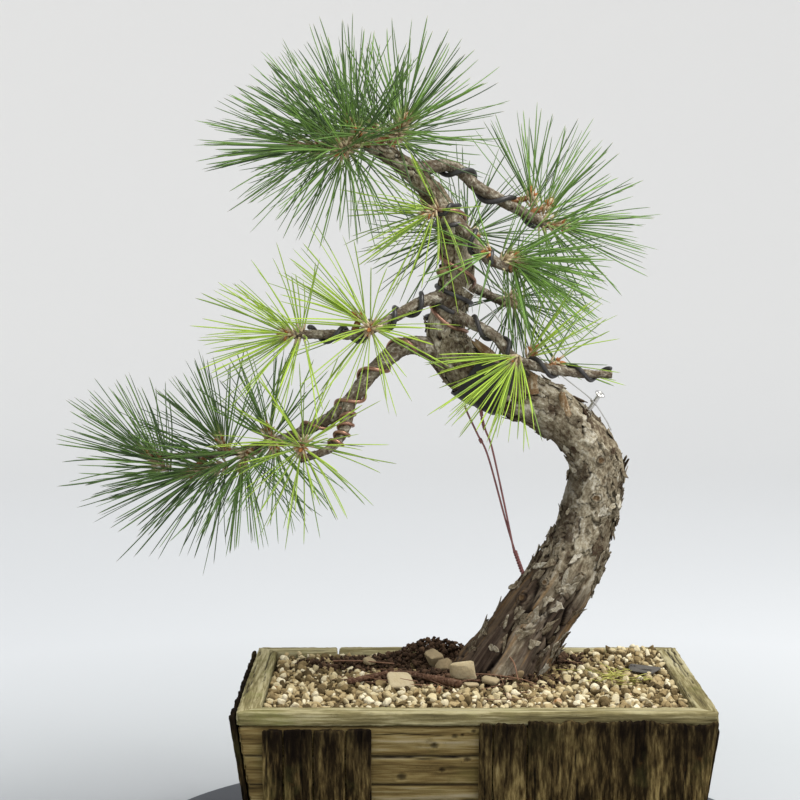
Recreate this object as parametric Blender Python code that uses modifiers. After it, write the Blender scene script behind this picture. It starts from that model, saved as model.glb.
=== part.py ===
"""A bonsai pine, wired and guyed, in a weathered wooden training box.

Metres, +Z up, -Y is the front. The origin is the centre of the box's underside.
Routes and sizes of grown and bent pieces are written in millimetres and scaled once.
"""

import math

import bmesh
import bpy
from mathutils import Matrix, Vector, noise

MM = 0.001
FIT_GAP = 0.0003  # between pieces that touch

# The wooden box: four leaning walls under a mitred rim
BOX_LENGTH = 0.380
BOX_DEPTH = 0.275
BOX_HEIGHT = 0.132
RIM_THICK = 0.012
RIM_BOARD = 0.018
RIM_LIP = 0.001
WALL_THICK = 0.014
WALL_LEAN = math.tan(math.radians(8.0))
COURSES = 5
GROOVE_DEPTH = 0.0012
GROOVE_HALF = 0.0009
FLOOR_THICK = 0.012
DRAIN_RADIUS = 0.007
DRAIN_PLACES = ((-0.110, -0.050), (-0.110, 0.050), (0.110, -0.050), (0.110, 0.050))
BACK_RIM_SAW_CUT = -0.117
SAW_GAP = 0.0016
WALL_TOP = BOX_HEIGHT - RIM_THICK
COURSE_HEIGHT = WALL_TOP / COURSES

# Thin slats nailed outside the walls
SLAT_THICK = 0.0042
SLAT_STAND_OFF = RIM_LIP + FIT_GAP
SLAT_JOINT = 0.0010
LEFT_SLAT_EDGES = (-0.170, -0.153, -0.1295, -0.104, -0.083)
LEFT_SLAT_TOPS = (0.1190, 0.1186, 0.1192, 0.1188)
RIGHT_SLAT_EDGES = (0.0005, 0.012, 0.039, 0.1895)
RIGHT_SLAT_TOPS = (0.1245, 0.1255, 0.1260)
SLAT_FOOT = 0.001
CLADDING_TOP = 0.1295
RIGHT_CLADDING_TOP = 0.1192
RIGHT_CLADDING_THICK = 0.0022

# Soil
SOIL_LEVEL = BOX_HEIGHT - 0.003
SOIL_GRID = (18, 13)
ROOT_POCKET_GAP = 0.0006

# Branch paths: x, y, z, radius in millimetres
TRUNK_MM = (
    (13, 30, 106, 35),
    (51, 30, 171, 31.5),
    (78, 29, 212, 30),
    (97, 27, 255, 25),
    (106, 23, 303, 23),
    (96, 21, 332, 21),
    (62, 17, 360, 21.5),
    (14, 11, 382, 22),
    (-12, 8, 399, 20),
    (-23, 5, 428, 15.5),
    (-14, 3, 464, 13.5),
    (-15, 1, 498, 12),
    (-24, -2, 527, 10.5),
    (-54, -9, 561, 9),
    (-95, -16, 585, 5),
)
BRANCHES_MM = {
    "branch_lower_left": (
        (-30, 5, 410, 8),
        (-57, -6, 413, 7.2),
        (-84, -15, 392, 6.7),
        (-101, -18, 370, 6.3),
        (-118, -18, 355, 5.4),
        (-145, -13, 341, 4.6),
        (-181, -6, 329, 3.7),
        (-211, 2, 322, 3.2),
        (-262, 8, 319, 2.5),
    ),
    "branch_middle_left": (
        (-20, -2, 457, 4.9),
        (-44, -20, 450, 4.7),
        (-72, -35, 435, 4.5),
        (-96, -44, 425, 4.2),
        (-122, -50, 425, 3.9),
        (-148, -54, 425, 3.4),
    ),
    "branch_upper_right": (
        (-49, -9, 560, 5.6),
        (-18, 2, 563, 5.3),
        (3, 8, 547, 5.0),
        (30, 15, 532, 4.7),
        (62, 21, 515, 4.2),
    ),
    "branch_right": (
        (-20, 0, 524, 5.2),
        (-4, -15, 506, 5.0),
        (10, -23, 488, 4.8),
        (29, -29, 479, 4.3),
    ),
    "branch_back_right": (
        (-11, 6, 466, 4.2),
        (5, 22, 460, 4.0),
        (28, 38, 448, 3.5),
    ),
    "branch_lower_right": (
        (-18, -3, 441, 4.7),
        (-4, -21, 434, 4.5),
        (17, -28, 423, 4.3),
        (31, -30, 406, 4.2),
        (50, -28, 398, 4.0),
        (83, -23, 392, 3.6),
        (115, -17, 390, 3.2),
    ),
    "branch_back": (
        (-16, 4, 490, 4.4),
        (-13, 26, 494, 3.9),
        (-8, 50, 503, 3.2),
    ),
}
FORK_MM = (
    (-104, -19, 367, 4.6),
    (-106, -31, 348, 4.1),
    (-118, -41, 331, 3.7),
    (-143, -48, 322, 3.1),
)
JUNCTION_GAP = 0.0005

# Training wire: branch, first and last millimetre along it, wire radius, millimetres a turn, first angle
WINDINGS_MM = {
    "copper_wire_trunk": ("trunk", 434, 552, 1.7, -52, 2.44),
    "copper_wire_lower_left": ("branch_lower_left", 25, 196, 1.6, 34, 0.42),
    "black_wire_middle_left": ("branch_middle_left", 22, 134, 2.1, -26, 3.8),
    "black_wire_upper_right": ("branch_upper_right", 20, 122, 2.1, -44, 5.46),
    "black_wire_lower_right": ("branch_lower_right", 22, 152, 1.8, 33, 2.75),
}
WIRE_CLEARANCE = 0.0009
POINTS_PER_TURN = 11

# Rubber pad, guy wires and the screw that holds the steel guy
PAD_CENTRE_MM = (10, 11, 384)
PAD_AXIS = (-0.88, -0.10, 0.46)
PAD_LENGTH = 0.026
PAD_INNER_RADIUS = 0.0236
PAD_THICK = 0.0020
GUY_RADIUS = 0.00085
GUY_STRANDS_MM = (
    ((-4, 17, 356), (14, 19, 319), (29, 22, 264), (38, 24, 229)),
    ((7, 4, 354), (17, 11, 327), (27, 18, 284), (37, 22, 231)),
)
GUY_KNOTS_MM = (((-4, 19, 355), (9, 2, 353), 1.6), ((37.5, 23.5, 234), (43, 26, 220), 2.3))
STEEL_GUY_MM = ((-9, -13, 463), (12, -10, 447), (28, -8, 428), (74, -8, 389), (97, 5, 366))
STEEL_GUY_RADIUS = 0.0006
SCREW_FOOT_MM = (99.5, 13, 359)
SCREW_HEAD_MM = (107, 6, 371)
SCREW_SHAFT_RADIUS = 0.0021
SCREW_HEAD_RADIUS = 0.0043
SCREW_HEAD_THICK = 0.0026

# Foliage envelopes in millimetres: centre, half sizes
TUFTS_MM = {
    "needles_crown_top": ((-45, -22, 630), (59, 60, 56)),
    "needles_crown_front": ((-150, -60, 546), (69, 55, 50)),
    "needles_crown_left": ((-192, -12, 594), (40, 55, 41)),
    "needles_crown_upper_left": ((-153, 8, 641), (50, 55, 40)),
    "needles_crown_back": ((-87, 48, 608), (51, 50, 47)),
    "needles_inner_left": ((-69, -32, 520), (35, 40, 37)),
    "needles_back": ((-22, 90, 508), (65, 45, 52)),
    "needles_right_top": ((66, 25, 567), (49, 55, 42)),
    "needles_right_side": ((112, 10, 508), (38, 50, 40)),
    "needles_right_front": ((57, -62, 502), (41, 38, 33)),
    "needles_right_low": ((97, -15, 458), (52, 45, 35)),
    "needles_back_right": ((43, 80, 452), (56, 42, 48)),
    "needles_lower_right": ((80, 6, 430), (35, 42, 36)),
    "needles_lower_right_front": ((8, -68, 372), (41, 35, 41)),
    "needles_middle_left": ((-181, -58, 417), (37, 60, 59)),
    "needles_middle_left_front": ((-93, -90, 434), (44, 40, 56)),
    "needles_fork": ((-138, -80, 322), (44, 44, 65)),
    "needles_lower_left_under": ((-190, -5, 268), (42, 50, 52)),
    "needles_lower_left_tip": ((-286, 15, 288), (64, 50, 33)),
    "needles_lower_left_end": ((-296, 12, 354), (42, 50, 36)),
    "needles_lower_left_top": ((-200, 5, 367), (46, 55, 34)),
}
NEEDLE_WOOD_ROOM = 0.0012
NEEDLE_WIRE_ROOM = 0.0062
TUFT_FINENESS = 2

parts = bpy.data.collections.new("bonsai_in_box")
cutters = bpy.data.collections.new("cutters")
materials = {}


# ---------- scene, materials and objects ----------
def clear_scene():
    for thing in list(bpy.data.objects):
        bpy.data.objects.remove(thing, do_unlink=True)
    bpy.context.scene.collection.children.link(parts)
    bpy.context.scene.collection.children.link(cutters)


def finish(name, colour, roughness, metallic=0.0):
    """One Principled material for the object of this name."""
    made = bpy.data.materials.new(name + "_finish")
    made.use_nodes = True
    shader = made.node_tree.nodes["Principled BSDF"]
    shader.inputs["Base Color"].default_value = (*colour, 1.0)
    shader.inputs["Roughness"].default_value = roughness
    shader.inputs["Metallic"].default_value = metallic
    return made


WOOD = ((0.30, 0.27, 0.19), 0.85)
DARK_SLAT = ((0.09, 0.06, 0.04), 0.90)
BARK = ((0.22, 0.19, 0.16), 0.90)
PUMICE = ((0.72, 0.64, 0.46), 0.95)
NEEDLE = ((0.10, 0.28, 0.06), 0.50)
COPPER = ((0.33, 0.15, 0.10), 0.45, 0.8)
BLACK_WIRE = ((0.05, 0.05, 0.05), 0.50, 0.3)
STEEL = ((0.60, 0.60, 0.60), 0.30, 1.0)
RUBBER = ((0.02, 0.02, 0.02), 0.70)


def add(name, mesh, look, collection=parts):
    thing = bpy.data.objects.new(name, mesh)
    collection.objects.link(thing)
    if collection is cutters:
        thing.hide_render = True
        thing.display_type = "WIRE"
    else:
        mesh.materials.append(finish(name, *look))
    return thing


def mesh_from(name, shape):
    """A mesh from a bmesh, with its normals facing out."""
    bmesh.ops.recalc_face_normals(shape, faces=shape.faces)
    mesh = bpy.data.meshes.new(name)
    shape.to_mesh(mesh)
    shape.free()
    return mesh


def open_edges(shape):
    return [edge for edge in shape.edges if edge.is_boundary]


def verts_in(geometry):
    return [element for element in geometry if isinstance(element, bmesh.types.BMVert)]


def round_bar(shape, radius, depth, segments, ends):
    """A cylinder about the Z axis, centred on the origin, closed or open at its ends."""
    bmesh.ops.create_cone(
        shape, cap_ends=ends, segments=segments, radius1=radius, radius2=radius, depth=depth
    )


def standing_at(place, direction):
    """The matrix that turns +Z to this direction and moves the origin to this place."""
    turn = Vector((0, 0, 1)).rotation_difference(direction)
    return Matrix.Translation(place) @ turn.to_matrix().to_4x4()


def soften(thing, width):
    bevel = thing.modifiers.new("edges", "BEVEL")
    bevel.width = width
    bevel.segments = 1
    bevel.limit_method = "ANGLE"


def cut(thing, cutter, operation="DIFFERENCE"):
    boolean = thing.modifiers.new("cut", "BOOLEAN")
    boolean.operation = operation
    boolean.object = cutter
    boolean.solver = "EXACT"


def shaped_box(name, place, look, edge=0.0):
    """A cube whose corners go where place(x, y, z) says, for x, y and z of -1 or 1."""
    shape = bmesh.new()
    bmesh.ops.create_cube(shape, size=2.0)
    for corner in shape.verts:
        corner.co = place(*(round(c) for c in corner.co))
    thing = add(name, mesh_from(name, shape), look)
    if edge:
        soften(thing, edge)
    return thing


# ---------- smooth paths and tubes ----------
def curve_point(a, b, c, d, t):
    """A point between b and c on a Catmull-Rom curve."""
    bend = 2 * a - 5 * b + 4 * c - d
    return 0.5 * (2 * b + (c - a) * t + bend * t**2 + (3 * b - a - 3 * c + d) * t**3)


def smooth_path(points_mm, spacing):
    """(point, radius) pairs along a smooth curve through the points, about this far apart."""
    knots = [Vector(p) * MM for p in points_mm]
    knots = [2 * knots[0] - knots[1], *knots, 2 * knots[-1] - knots[-2]]
    path = []
    for a, b, c, d in zip(knots, knots[1:], knots[2:], knots[3:]):
        steps = max(1, round((c - b).to_3d().length / spacing))
        path += [curve_point(a, b, c, d, i / steps) for i in range(steps)]
    path.append(knots[-2])
    return [(p.to_3d(), p[3] if len(p) > 3 else 0.0) for p in path]


def tube(name, path, look, sides_level=2, extra=0.0, collection=parts):
    """A curve object with a round section and filled caps, along (point, radius) pairs."""
    data = bpy.data.curves.new(name, "CURVE")
    data.dimensions = "3D"
    data.bevel_depth = 1.0
    data.bevel_resolution = sides_level
    data.use_fill_caps = True
    spline = data.splines.new("POLY")
    spline.points.add(len(path) - 1)
    for slot, (point, radius) in zip(spline.points, path):
        slot.co = (*point, 1.0)
        slot.radius = radius + extra
    return add(name, data, look, collection)


def as_mesh(thing, look):
    """The curve object made a closed mesh object of the same name."""
    name, collection = thing.name, thing.users_collection[0]
    bpy.context.view_layer.update()
    graph = bpy.context.evaluated_depsgraph_get()
    mesh = bpy.data.meshes.new_from_object(thing.evaluated_get(graph))
    matrix = thing.matrix_world.copy()
    bpy.data.objects.remove(thing, do_unlink=True)
    shape = bmesh.new()
    shape.from_mesh(mesh)
    bmesh.ops.remove_doubles(shape, verts=shape.verts, dist=0.00001)
    bmesh.ops.recalc_face_normals(shape, faces=shape.faces)
    shape.to_mesh(mesh)
    shape.free()
    mesh.materials.clear()
    made = add(name, mesh, look, collection)
    made.matrix_world = matrix
    return made


def arc_lengths(path):
    """The distance along the path at each of its points."""
    total, lengths = 0.0, [0.0]
    for (a, _), (b, _) in zip(path, path[1:]):
        total += (b - a).length
        lengths.append(total)
    return lengths


def frames_along(path):
    """Two directions square to the path at each point, carried along without twist."""
    side, frames = None, []
    for i, (point, _) in enumerate(path):
        ahead = path[min(i + 1, len(path) - 1)][0] - path[max(i - 1, 0)][0]
        ahead.normalize()
        side = ahead.orthogonal() if side is None else side - ahead * side.dot(ahead)
        side.normalize()
        frames.append((side.copy(), ahead.cross(side)))
    return frames


def winding(path, first, last, wire_radius, pitch, angle):
    """A wire's (point, radius) pairs, wound round a branch between two distances along it."""
    lengths, frames = arc_lengths(path), frames_along(path)
    last = min(last, lengths[-1])
    steps = int((last - first) / abs(pitch) * POINTS_PER_TURN)
    wire = []
    for step in range(steps + 1):
        along = first + (last - first) * step / steps
        i = max(k for k, length in enumerate(lengths[:-1]) if length <= along)
        share = (along - lengths[i]) / (lengths[i + 1] - lengths[i])
        point = path[i][0].lerp(path[i + 1][0], share)
        radius = path[i][1] + (path[i + 1][1] - path[i][1]) * share
        side = frames[i][0].lerp(frames[i + 1][0], share)
        up = frames[i][1].lerp(frames[i + 1][1], share)
        turn = angle + 2 * math.pi * (along - first) / pitch
        reach = radius + wire_radius + WIRE_CLEARANCE
        wire.append((point + reach * (math.cos(turn) * side + math.sin(turn) * up), wire_radius))
    return wire


# ---------- the box ----------
def wall_half(z):
    """Half the box's length and depth outside its walls, at this height."""
    lean = (WALL_TOP - z) * WALL_LEAN + RIM_LIP
    return BOX_LENGTH / 2 - lean, BOX_DEPTH / 2 - lean


def wall_point(side, end, outward, z):
    """A point on a wall's end. Side is front, back, left or right, and end is from -1 to 1."""
    half_length, half_depth = wall_half(z)
    mitre = FIT_GAP * 0.5
    if side in ("front", "back"):
        sign = -1 if side == "front" else 1
        return Vector((end * (half_length + outward - mitre), sign * (half_depth + outward), z))
    sign = -1 if side == "left" else 1
    return Vector((sign * (half_length + outward), end * (half_depth + outward - mitre), z))


def swept(name, profile, place, look):
    """A closed section swept between end -1 and end 1: place(end, outward, z) puts each point."""
    shape = bmesh.new()
    face = shape.faces.new([shape.verts.new((-1, outward, z)) for outward, z in profile])
    for vert in verts_in(bmesh.ops.extrude_face_region(shape, geom=[face])["geom"]):
        vert.co.x = 1
    for vert in shape.verts:
        vert.co = place(vert.co.x, vert.co.y, vert.co.z)
    return add(name, mesh_from(name, shape), look)


def wall_profile():
    """The section of a wall of level boards, with a V groove outside at each joint."""
    outside = [(0.0, 0.0)]
    for course in range(1, COURSES):
        z = course * COURSE_HEIGHT
        outside += [(0.0, z - GROOVE_HALF), (-GROOVE_DEPTH, z), (0.0, z + GROOVE_HALF)]
    top = WALL_TOP - FIT_GAP
    return [*outside, (0.0, top), (-WALL_THICK, top), (-WALL_THICK, 0.0)]


def build_walls():
    for side in ("front", "back", "left", "right"):
        place = lambda end, outward, z, side=side: wall_point(side, end, outward, z)
        swept("wall_" + side, wall_profile(), place, WOOD)


def rim_corner(side, end, inner, top):
    """A corner of a mitred rim board. Inner and top are -1 or 1."""
    inset = RIM_BOARD if inner > 0 else 0.0
    z = BOX_HEIGHT if top > 0 else WALL_TOP
    x, y = BOX_LENGTH / 2 - inset, BOX_DEPTH / 2 - inset
    if side in ("front", "back"):
        return Vector((end * (x - FIT_GAP * 0.5), (-y if side == "front" else y), z))
    return Vector((-x if side == "left" else x, end * (y - FIT_GAP * 0.5), z))


def build_rim():
    for side in ("front", "left", "right"):
        place = lambda x, y, z, side=side: rim_corner(side, x, y, z)
        shaped_box("rim_" + side, place, WOOD, edge=0.001)
    for name, outer_end in (("rim_back_left", -1), ("rim_back_right", 1)):
        sawn_x = BACK_RIM_SAW_CUT + outer_end * SAW_GAP / 2

        def place(x, y, z, outer_end=outer_end, sawn_x=sawn_x):
            corner = rim_corner("back", outer_end, y, z)
            if x != outer_end:
                corner.x = sawn_x
            return corner

        shaped_box(name, place, WOOD, edge=0.001)


def build_floor():
    def place(x, y, z):
        height = FLOOR_THICK if z > 0 else 0.0
        half_length, half_depth = wall_half(0.0)
        inset = WALL_THICK + FIT_GAP
        return Vector((x * (half_length - inset), y * (half_depth - inset), height))

    board = shaped_box("floor_board", place, WOOD)
    for i, (x, y) in enumerate(DRAIN_PLACES):
        shape = bmesh.new()
        round_bar(shape, DRAIN_RADIUS, 4 * FLOOR_THICK, 12, ends=True)
        drill = add(f"drill_{i}", mesh_from("drill", shape), WOOD, cutters)
        drill.location = (x, y, 0)
        cut(board, drill)


def slat(name, side, edges, top, thick=SLAT_THICK, stand_off=SLAT_STAND_OFF):
    """A thin board outside a wall, between two places along its top edge."""
    half = BOX_LENGTH / 2 if side == "front" else BOX_DEPTH / 2

    def place(x, y, z):
        height = top if z > 0 else SLAT_FOOT
        outward = stand_off + (thick if y < 0 else 0.0)
        point = wall_point(side, 0, outward, height)
        along = edges[0] if x < 0 else edges[1]
        reach = wall_half(height)[0 if side == "front" else 1] + RIM_LIP
        if abs(along) > 0.95 * half:
            along *= reach / half
        if side == "front":
            point.x = along
        else:
            point.y = along
        return point

    return shaped_box(name, place, DARK_SLAT, edge=0.0006)


def build_slats():
    groups = {
        "slat_left": (LEFT_SLAT_EDGES, LEFT_SLAT_TOPS),
        "slat_right": (RIGHT_SLAT_EDGES, RIGHT_SLAT_TOPS),
    }
    for group, (edges, tops) in groups.items():
        for i, top in enumerate(tops):
            between = (edges[i] + SLAT_JOINT / 2, edges[i + 1] - SLAT_JOINT / 2)
            slat(f"{group}_{i + 1}", "front", between, top)
    side_edges = (-BOX_DEPTH / 2 + 0.001, BOX_DEPTH / 2 - 0.001)
    slat("cladding_left", "left", side_edges, CLADDING_TOP)
    slat(
        "cladding_right", "right", side_edges, RIGHT_CLADDING_TOP, RIGHT_CLADDING_THICK, FIT_GAP
    )


# ---------- soil and what lies on it ----------
def soil_height(x, y):
    """The gravel's surface: a low mound at the trunk, heaped into the right back corner."""
    mound = 0.0045 * math.exp(-((x - 0.03) ** 2 + (y - 0.03) ** 2) / 0.07**2)
    heap = 0.0075 * math.exp(-((x - 0.150) ** 2 + (y - 0.105) ** 2) / 0.05**2)
    ripple = 0.0008 * noise.noise(Vector((x * 40, y * 40, 0.3)))
    return SOIL_LEVEL + mound + heap + ripple


def build_soil(trunk_path):
    floor_half = wall_half(FLOOR_THICK)
    inset = WALL_THICK + 2 * FIT_GAP
    low = (floor_half[0] - inset, floor_half[1] - inset)
    high = (BOX_LENGTH / 2 - RIM_BOARD - FIT_GAP, BOX_DEPTH / 2 - RIM_BOARD - FIT_GAP)
    shape = bmesh.new()
    bmesh.ops.create_grid(shape, x_segments=SOIL_GRID[0], y_segments=SOIL_GRID[1], size=1.0)
    rim = open_edges(shape)
    for vert in shape.verts:
        x, y = vert.co.x * high[0], vert.co.y * high[1]
        vert.co = (x, y, soil_height(x, y))
    for vert in verts_in(bmesh.ops.extrude_edge_only(shape, edges=rim)["geom"]):
        vert.co = (vert.co.x * low[0] / high[0], vert.co.y * low[1] / high[1], FLOOR_THICK + FIT_GAP)
    bmesh.ops.holes_fill(shape, edges=open_edges(shape))
    soil = add("soil", mesh_from("soil", shape), PUMICE)
    down = (trunk_path[0][0] - trunk_path[1][0]).normalized() * 2 * ROOT_POCKET_GAP
    buried = [(trunk_path[0][0] + down, trunk_path[0][1])]
    buried += [pair for pair in trunk_path[1:] if pair[0].z < 0.2]
    pocket = tube("root_pocket", buried, WOOD, 4, ROOT_POCKET_GAP, cutters)
    cut(soil, as_mesh(pocket, WOOD))


def laid_on_soil(points_mm, radius, lift):
    """(point, radius) pairs of a stick lying on the gravel through these x, y places."""
    flat = [(x, y, 0, radius) for x, y in points_mm]
    path = smooth_path(flat, 0.009)
    return [(Vector((p.x, p.y, soil_height(p.x, p.y) + r + lift)), r) for p, r in path]


def build_litter():
    root = laid_on_soil(((-104, -24), (-88, -6), (-72, 5), (-55, 2), (-38, -14), (-12, -42)), 2.6, 0.0012)
    tube("fallen_root", root, BARK)
    turn = Matrix.Rotation(math.radians(14), 3, "X") @ Matrix.Rotation(math.radians(-6), 3, "Y")
    slab_half = Vector((0.0115, 0.0035, 0.0090))
    slab_at = Vector((-0.0085, -0.020, 0.0))
    slab_at.z = soil_height(slab_at.x, slab_at.y) + 0.0112

    def place(x, y, z):
        return slab_at + turn @ Vector((x * slab_half.x, y * slab_half.y, z * slab_half.z))

    shaped_box("bark_chip", place, WOOD, edge=0.0012)


# ---------- tree ----------
def build_tree():
    """The trunk, then each branch trimmed to stand just clear of it."""
    paths = {"trunk": smooth_path(TRUNK_MM, 0.022)}
    tube("trunk", paths["trunk"], BARK, 4)
    clear = as_mesh(tube("trunk_clearance", paths["trunk"], BARK, 4, JUNCTION_GAP, cutters), BARK)
    for name, points in BRANCHES_MM.items():
        paths[name] = smooth_path(points, 0.013)
        cut(as_mesh(tube(name, paths[name], BARK), BARK), clear)
    fork_path = smooth_path(FORK_MM, 0.013)
    paths["fork"] = fork_path
    fork = as_mesh(tube("fork", fork_path, BARK, collection=cutters), BARK)
    cut(bpy.data.objects["branch_lower_left"], fork, "UNION")
    return paths


def build_windings(paths):
    for name, (branch, first, last, radius, pitch, angle) in WINDINGS_MM.items():
        wire = winding(paths[branch], first * MM, last * MM, radius * MM, pitch * MM, angle)
        tube(name, wire, COPPER if name.startswith("copper") else BLACK_WIRE)


def build_guys():
    axis = Vector(PAD_AXIS).normalized()
    shape = bmesh.new()
    round_bar(shape, PAD_INNER_RADIUS, PAD_LENGTH, 20, ends=False)
    shape.transform(standing_at(Vector(PAD_CENTRE_MM) * MM, axis))
    pad = add("rubber_pad", mesh_from("rubber_pad", shape), RUBBER)
    shell = pad.modifiers.new("thickness", "SOLIDIFY")
    shell.thickness = PAD_THICK
    shell.offset = 1.0
    radius_mm = GUY_RADIUS / MM
    strands = [smooth_path([(*p, radius_mm) for p in points], 0.020) for points in GUY_STRANDS_MM]
    knots = [[(Vector(a) * MM, r * MM), (Vector(b) * MM, r * MM)] for a, b, r in GUY_KNOTS_MM]
    guys = as_mesh(tube("guy_wires", strands[0], COPPER), COPPER)
    for i, extra in enumerate([strands[1], *knots]):
        joined = as_mesh(tube(f"guy_piece_{i}", extra, COPPER, collection=cutters), COPPER)
        cut(guys, joined, "UNION")
    steel = smooth_path([(*p, STEEL_GUY_RADIUS / MM) for p in STEEL_GUY_MM], 0.016)
    tube("steel_guy_wire", steel, STEEL)
    build_screw()


def build_screw():
    """A turned shaft and pan head, from the trunk outward."""
    foot, head = Vector(SCREW_FOOT_MM) * MM, Vector(SCREW_HEAD_MM) * MM
    length = (head - foot).length
    outline = (
        (0.0, length + SCREW_HEAD_THICK),
        (SCREW_HEAD_RADIUS * 0.8, length + SCREW_HEAD_THICK),
        (SCREW_HEAD_RADIUS, length + SCREW_HEAD_THICK * 0.4),
        (SCREW_HEAD_RADIUS, length),
        (SCREW_SHAFT_RADIUS, length),
        (SCREW_SHAFT_RADIUS, 0.0),
        (0.0, 0.0),
    )
    shape = bmesh.new()
    line = [shape.verts.new((radius, 0.0, z)) for radius, z in outline]
    for a, b in zip(line, line[1:]):
        shape.edges.new((a, b))
    mesh = bpy.data.meshes.new("guy_screw")
    shape.to_mesh(mesh)
    shape.free()
    screw = add("guy_screw", mesh, STEEL)
    turned = screw.modifiers.new("turned", "SCREW")
    turned.steps = turned.render_steps = 12
    turned.use_merge_vertices = True
    turned.merge_threshold = 0.00005
    screw.matrix_world = standing_at(foot, head - foot)


# ---------- foliage ----------
def nearest_on(segment_start, segment_end, point):
    run = segment_end - segment_start
    share = (point - segment_start).dot(run) / run.length_squared
    return segment_start + run * min(1.0, max(0.0, share))


def planes_off_wood(centre, reach, paths):
    """(point, direction) planes that part a tuft's middle from each stretch of wood and wire."""
    wired = {branch for branch, *_ in WINDINGS_MM.values()}
    planes = []
    for name, path in paths.items():
        room = NEEDLE_WIRE_ROOM if name in wired else NEEDLE_WOOD_ROOM
        for (a, first), (b, second) in zip(path, path[1:]):
            near = nearest_on(a, b, centre)
            apart = (near - centre).length - max(first, second) - room
            if apart < reach:
                away = (near - centre).normalized()
                planes.append((apart, centre + away * apart, away))
    return [(point, away) for _, point, away in sorted(planes, key=lambda plane: plane[0])]


def planes_off_neighbours(name):
    """Planes half way to each other tuft, weighed by how big each is in that direction."""
    centre, half = (Vector(v) for v in TUFTS_MM[name])
    planes = []
    for other, (other_centre, other_half) in TUFTS_MM.items():
        if other == name:
            continue
        away = Vector(other_centre) - centre
        mine = Vector(h * a for h, a in zip(half, away.normalized())).length
        theirs = Vector(h * a for h, a in zip(other_half, away.normalized())).length
        share = mine / (mine + theirs)
        point = (centre + away * share) * MM - away.normalized() * FIT_GAP
        planes.append((point, away.normalized()))
    return planes


def build_tufts(paths):
    for name, (centre_mm, half_mm) in TUFTS_MM.items():
        centre, half = Vector(centre_mm) * MM, Vector(half_mm) * MM
        shape = bmesh.new()
        bmesh.ops.create_icosphere(shape, subdivisions=TUFT_FINENESS, radius=1.0)
        for vert in shape.verts:
            vert.co = centre + Vector(h * c for h, c in zip(half, vert.co))
        for point, away in planes_off_neighbours(name) + planes_off_wood(centre, max(half), paths):
            if max((vert.co - point).dot(away) for vert in shape.verts) <= 0.0:
                continue
            everything = shape.verts[:] + shape.edges[:] + shape.faces[:]
            bmesh.ops.bisect_plane(shape, geom=everything, plane_co=point, plane_no=away, clear_outer=True)
            bmesh.ops.holes_fill(shape, edges=open_edges(shape))
        bmesh.ops.remove_doubles(shape, verts=shape.verts, dist=0.0002)
        add(name, mesh_from(name, shape), NEEDLE)


def main():
    clear_scene()
    build_walls()
    build_rim()
    build_floor()
    build_slats()
    paths = build_tree()
    build_soil(paths["trunk"])
    build_litter()
    build_windings(paths)
    build_guys()
    build_tufts(paths)


main()
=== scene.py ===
# %% [markdown]
# # A wired bonsai pine in a wooden training box
#
# The measured model gives every part its place and size. This lesson builds the looks round it:
# bark, needles, wires, weathered boards and gravel. Each step starts with a short text that says
# what the real thing is, how Blender could make it, and why this way was taken.

# %% load the measured model
import itertools
import math

import bmesh
import bpy
import numpy as np
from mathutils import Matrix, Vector


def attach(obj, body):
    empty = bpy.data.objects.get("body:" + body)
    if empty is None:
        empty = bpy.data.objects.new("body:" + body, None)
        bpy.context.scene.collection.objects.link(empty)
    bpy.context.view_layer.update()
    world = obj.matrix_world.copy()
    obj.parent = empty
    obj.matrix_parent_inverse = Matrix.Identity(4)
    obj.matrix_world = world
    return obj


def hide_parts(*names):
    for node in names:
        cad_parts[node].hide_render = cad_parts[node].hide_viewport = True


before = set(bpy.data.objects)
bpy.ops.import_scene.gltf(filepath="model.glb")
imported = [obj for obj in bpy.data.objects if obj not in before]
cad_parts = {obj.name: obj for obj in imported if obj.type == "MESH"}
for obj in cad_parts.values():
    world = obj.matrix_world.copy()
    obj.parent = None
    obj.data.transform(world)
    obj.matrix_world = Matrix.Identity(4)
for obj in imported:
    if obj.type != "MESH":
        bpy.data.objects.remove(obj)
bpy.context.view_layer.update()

MM = 0.001

# %% [markdown]
# ## The camera, the floor and the light
#
# The tree is seen from straight in front, a little above its middle, through a long lens, so the
# box looks almost flat-on and its top just shows. The floor is one pale round sheet whose edge
# curls up far away. It has no corner to draw a line behind the tree, and it works from every side.
# The box stands on a dark turntable, of the kind that trees are worked on. Most of the light is a
# pale sky from all round. A wide lamp high on the right gives the shade under each branch, and a
# weak one at the front right opens the darkest of it.

# %% camera
CAMERA_PLACE = (-0.061, -1.812, 0.4975)
CAMERA_PITCH = math.radians(85.9)
camera_data = bpy.data.cameras.new("camera")
camera_data.lens = 97.2
camera_data.sensor_width = 36.0
camera = bpy.data.objects.new("camera", camera_data)
camera.location = CAMERA_PLACE
camera.rotation_euler = (CAMERA_PITCH, 0.0, 0.0)
bpy.context.scene.collection.objects.link(camera)
bpy.context.scene.camera = camera
bpy.context.scene.view_settings.view_transform = "Standard"
print("camera", camera_data.lens, "mm at", CAMERA_PLACE)

# %% round things
def add_rings(shape, outline, sides, centre=(0.0, 0.0)):
    """Rings of points at these (distance, height) places, with faces between them."""
    turns = [2 * math.pi * i / sides for i in range(sides)]
    rings = [
        [
            shape.verts.new((centre[0] + reach * math.cos(turn), centre[1] + reach * math.sin(turn), height))
            for turn in turns
        ]
        for reach, height in outline
    ]
    for first, second in zip(rings, rings[1:]):
        for i in range(sides):
            after = (i + 1) % sides
            shape.faces.new((first[i], second[i], second[after], first[after]))
    return rings


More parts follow.
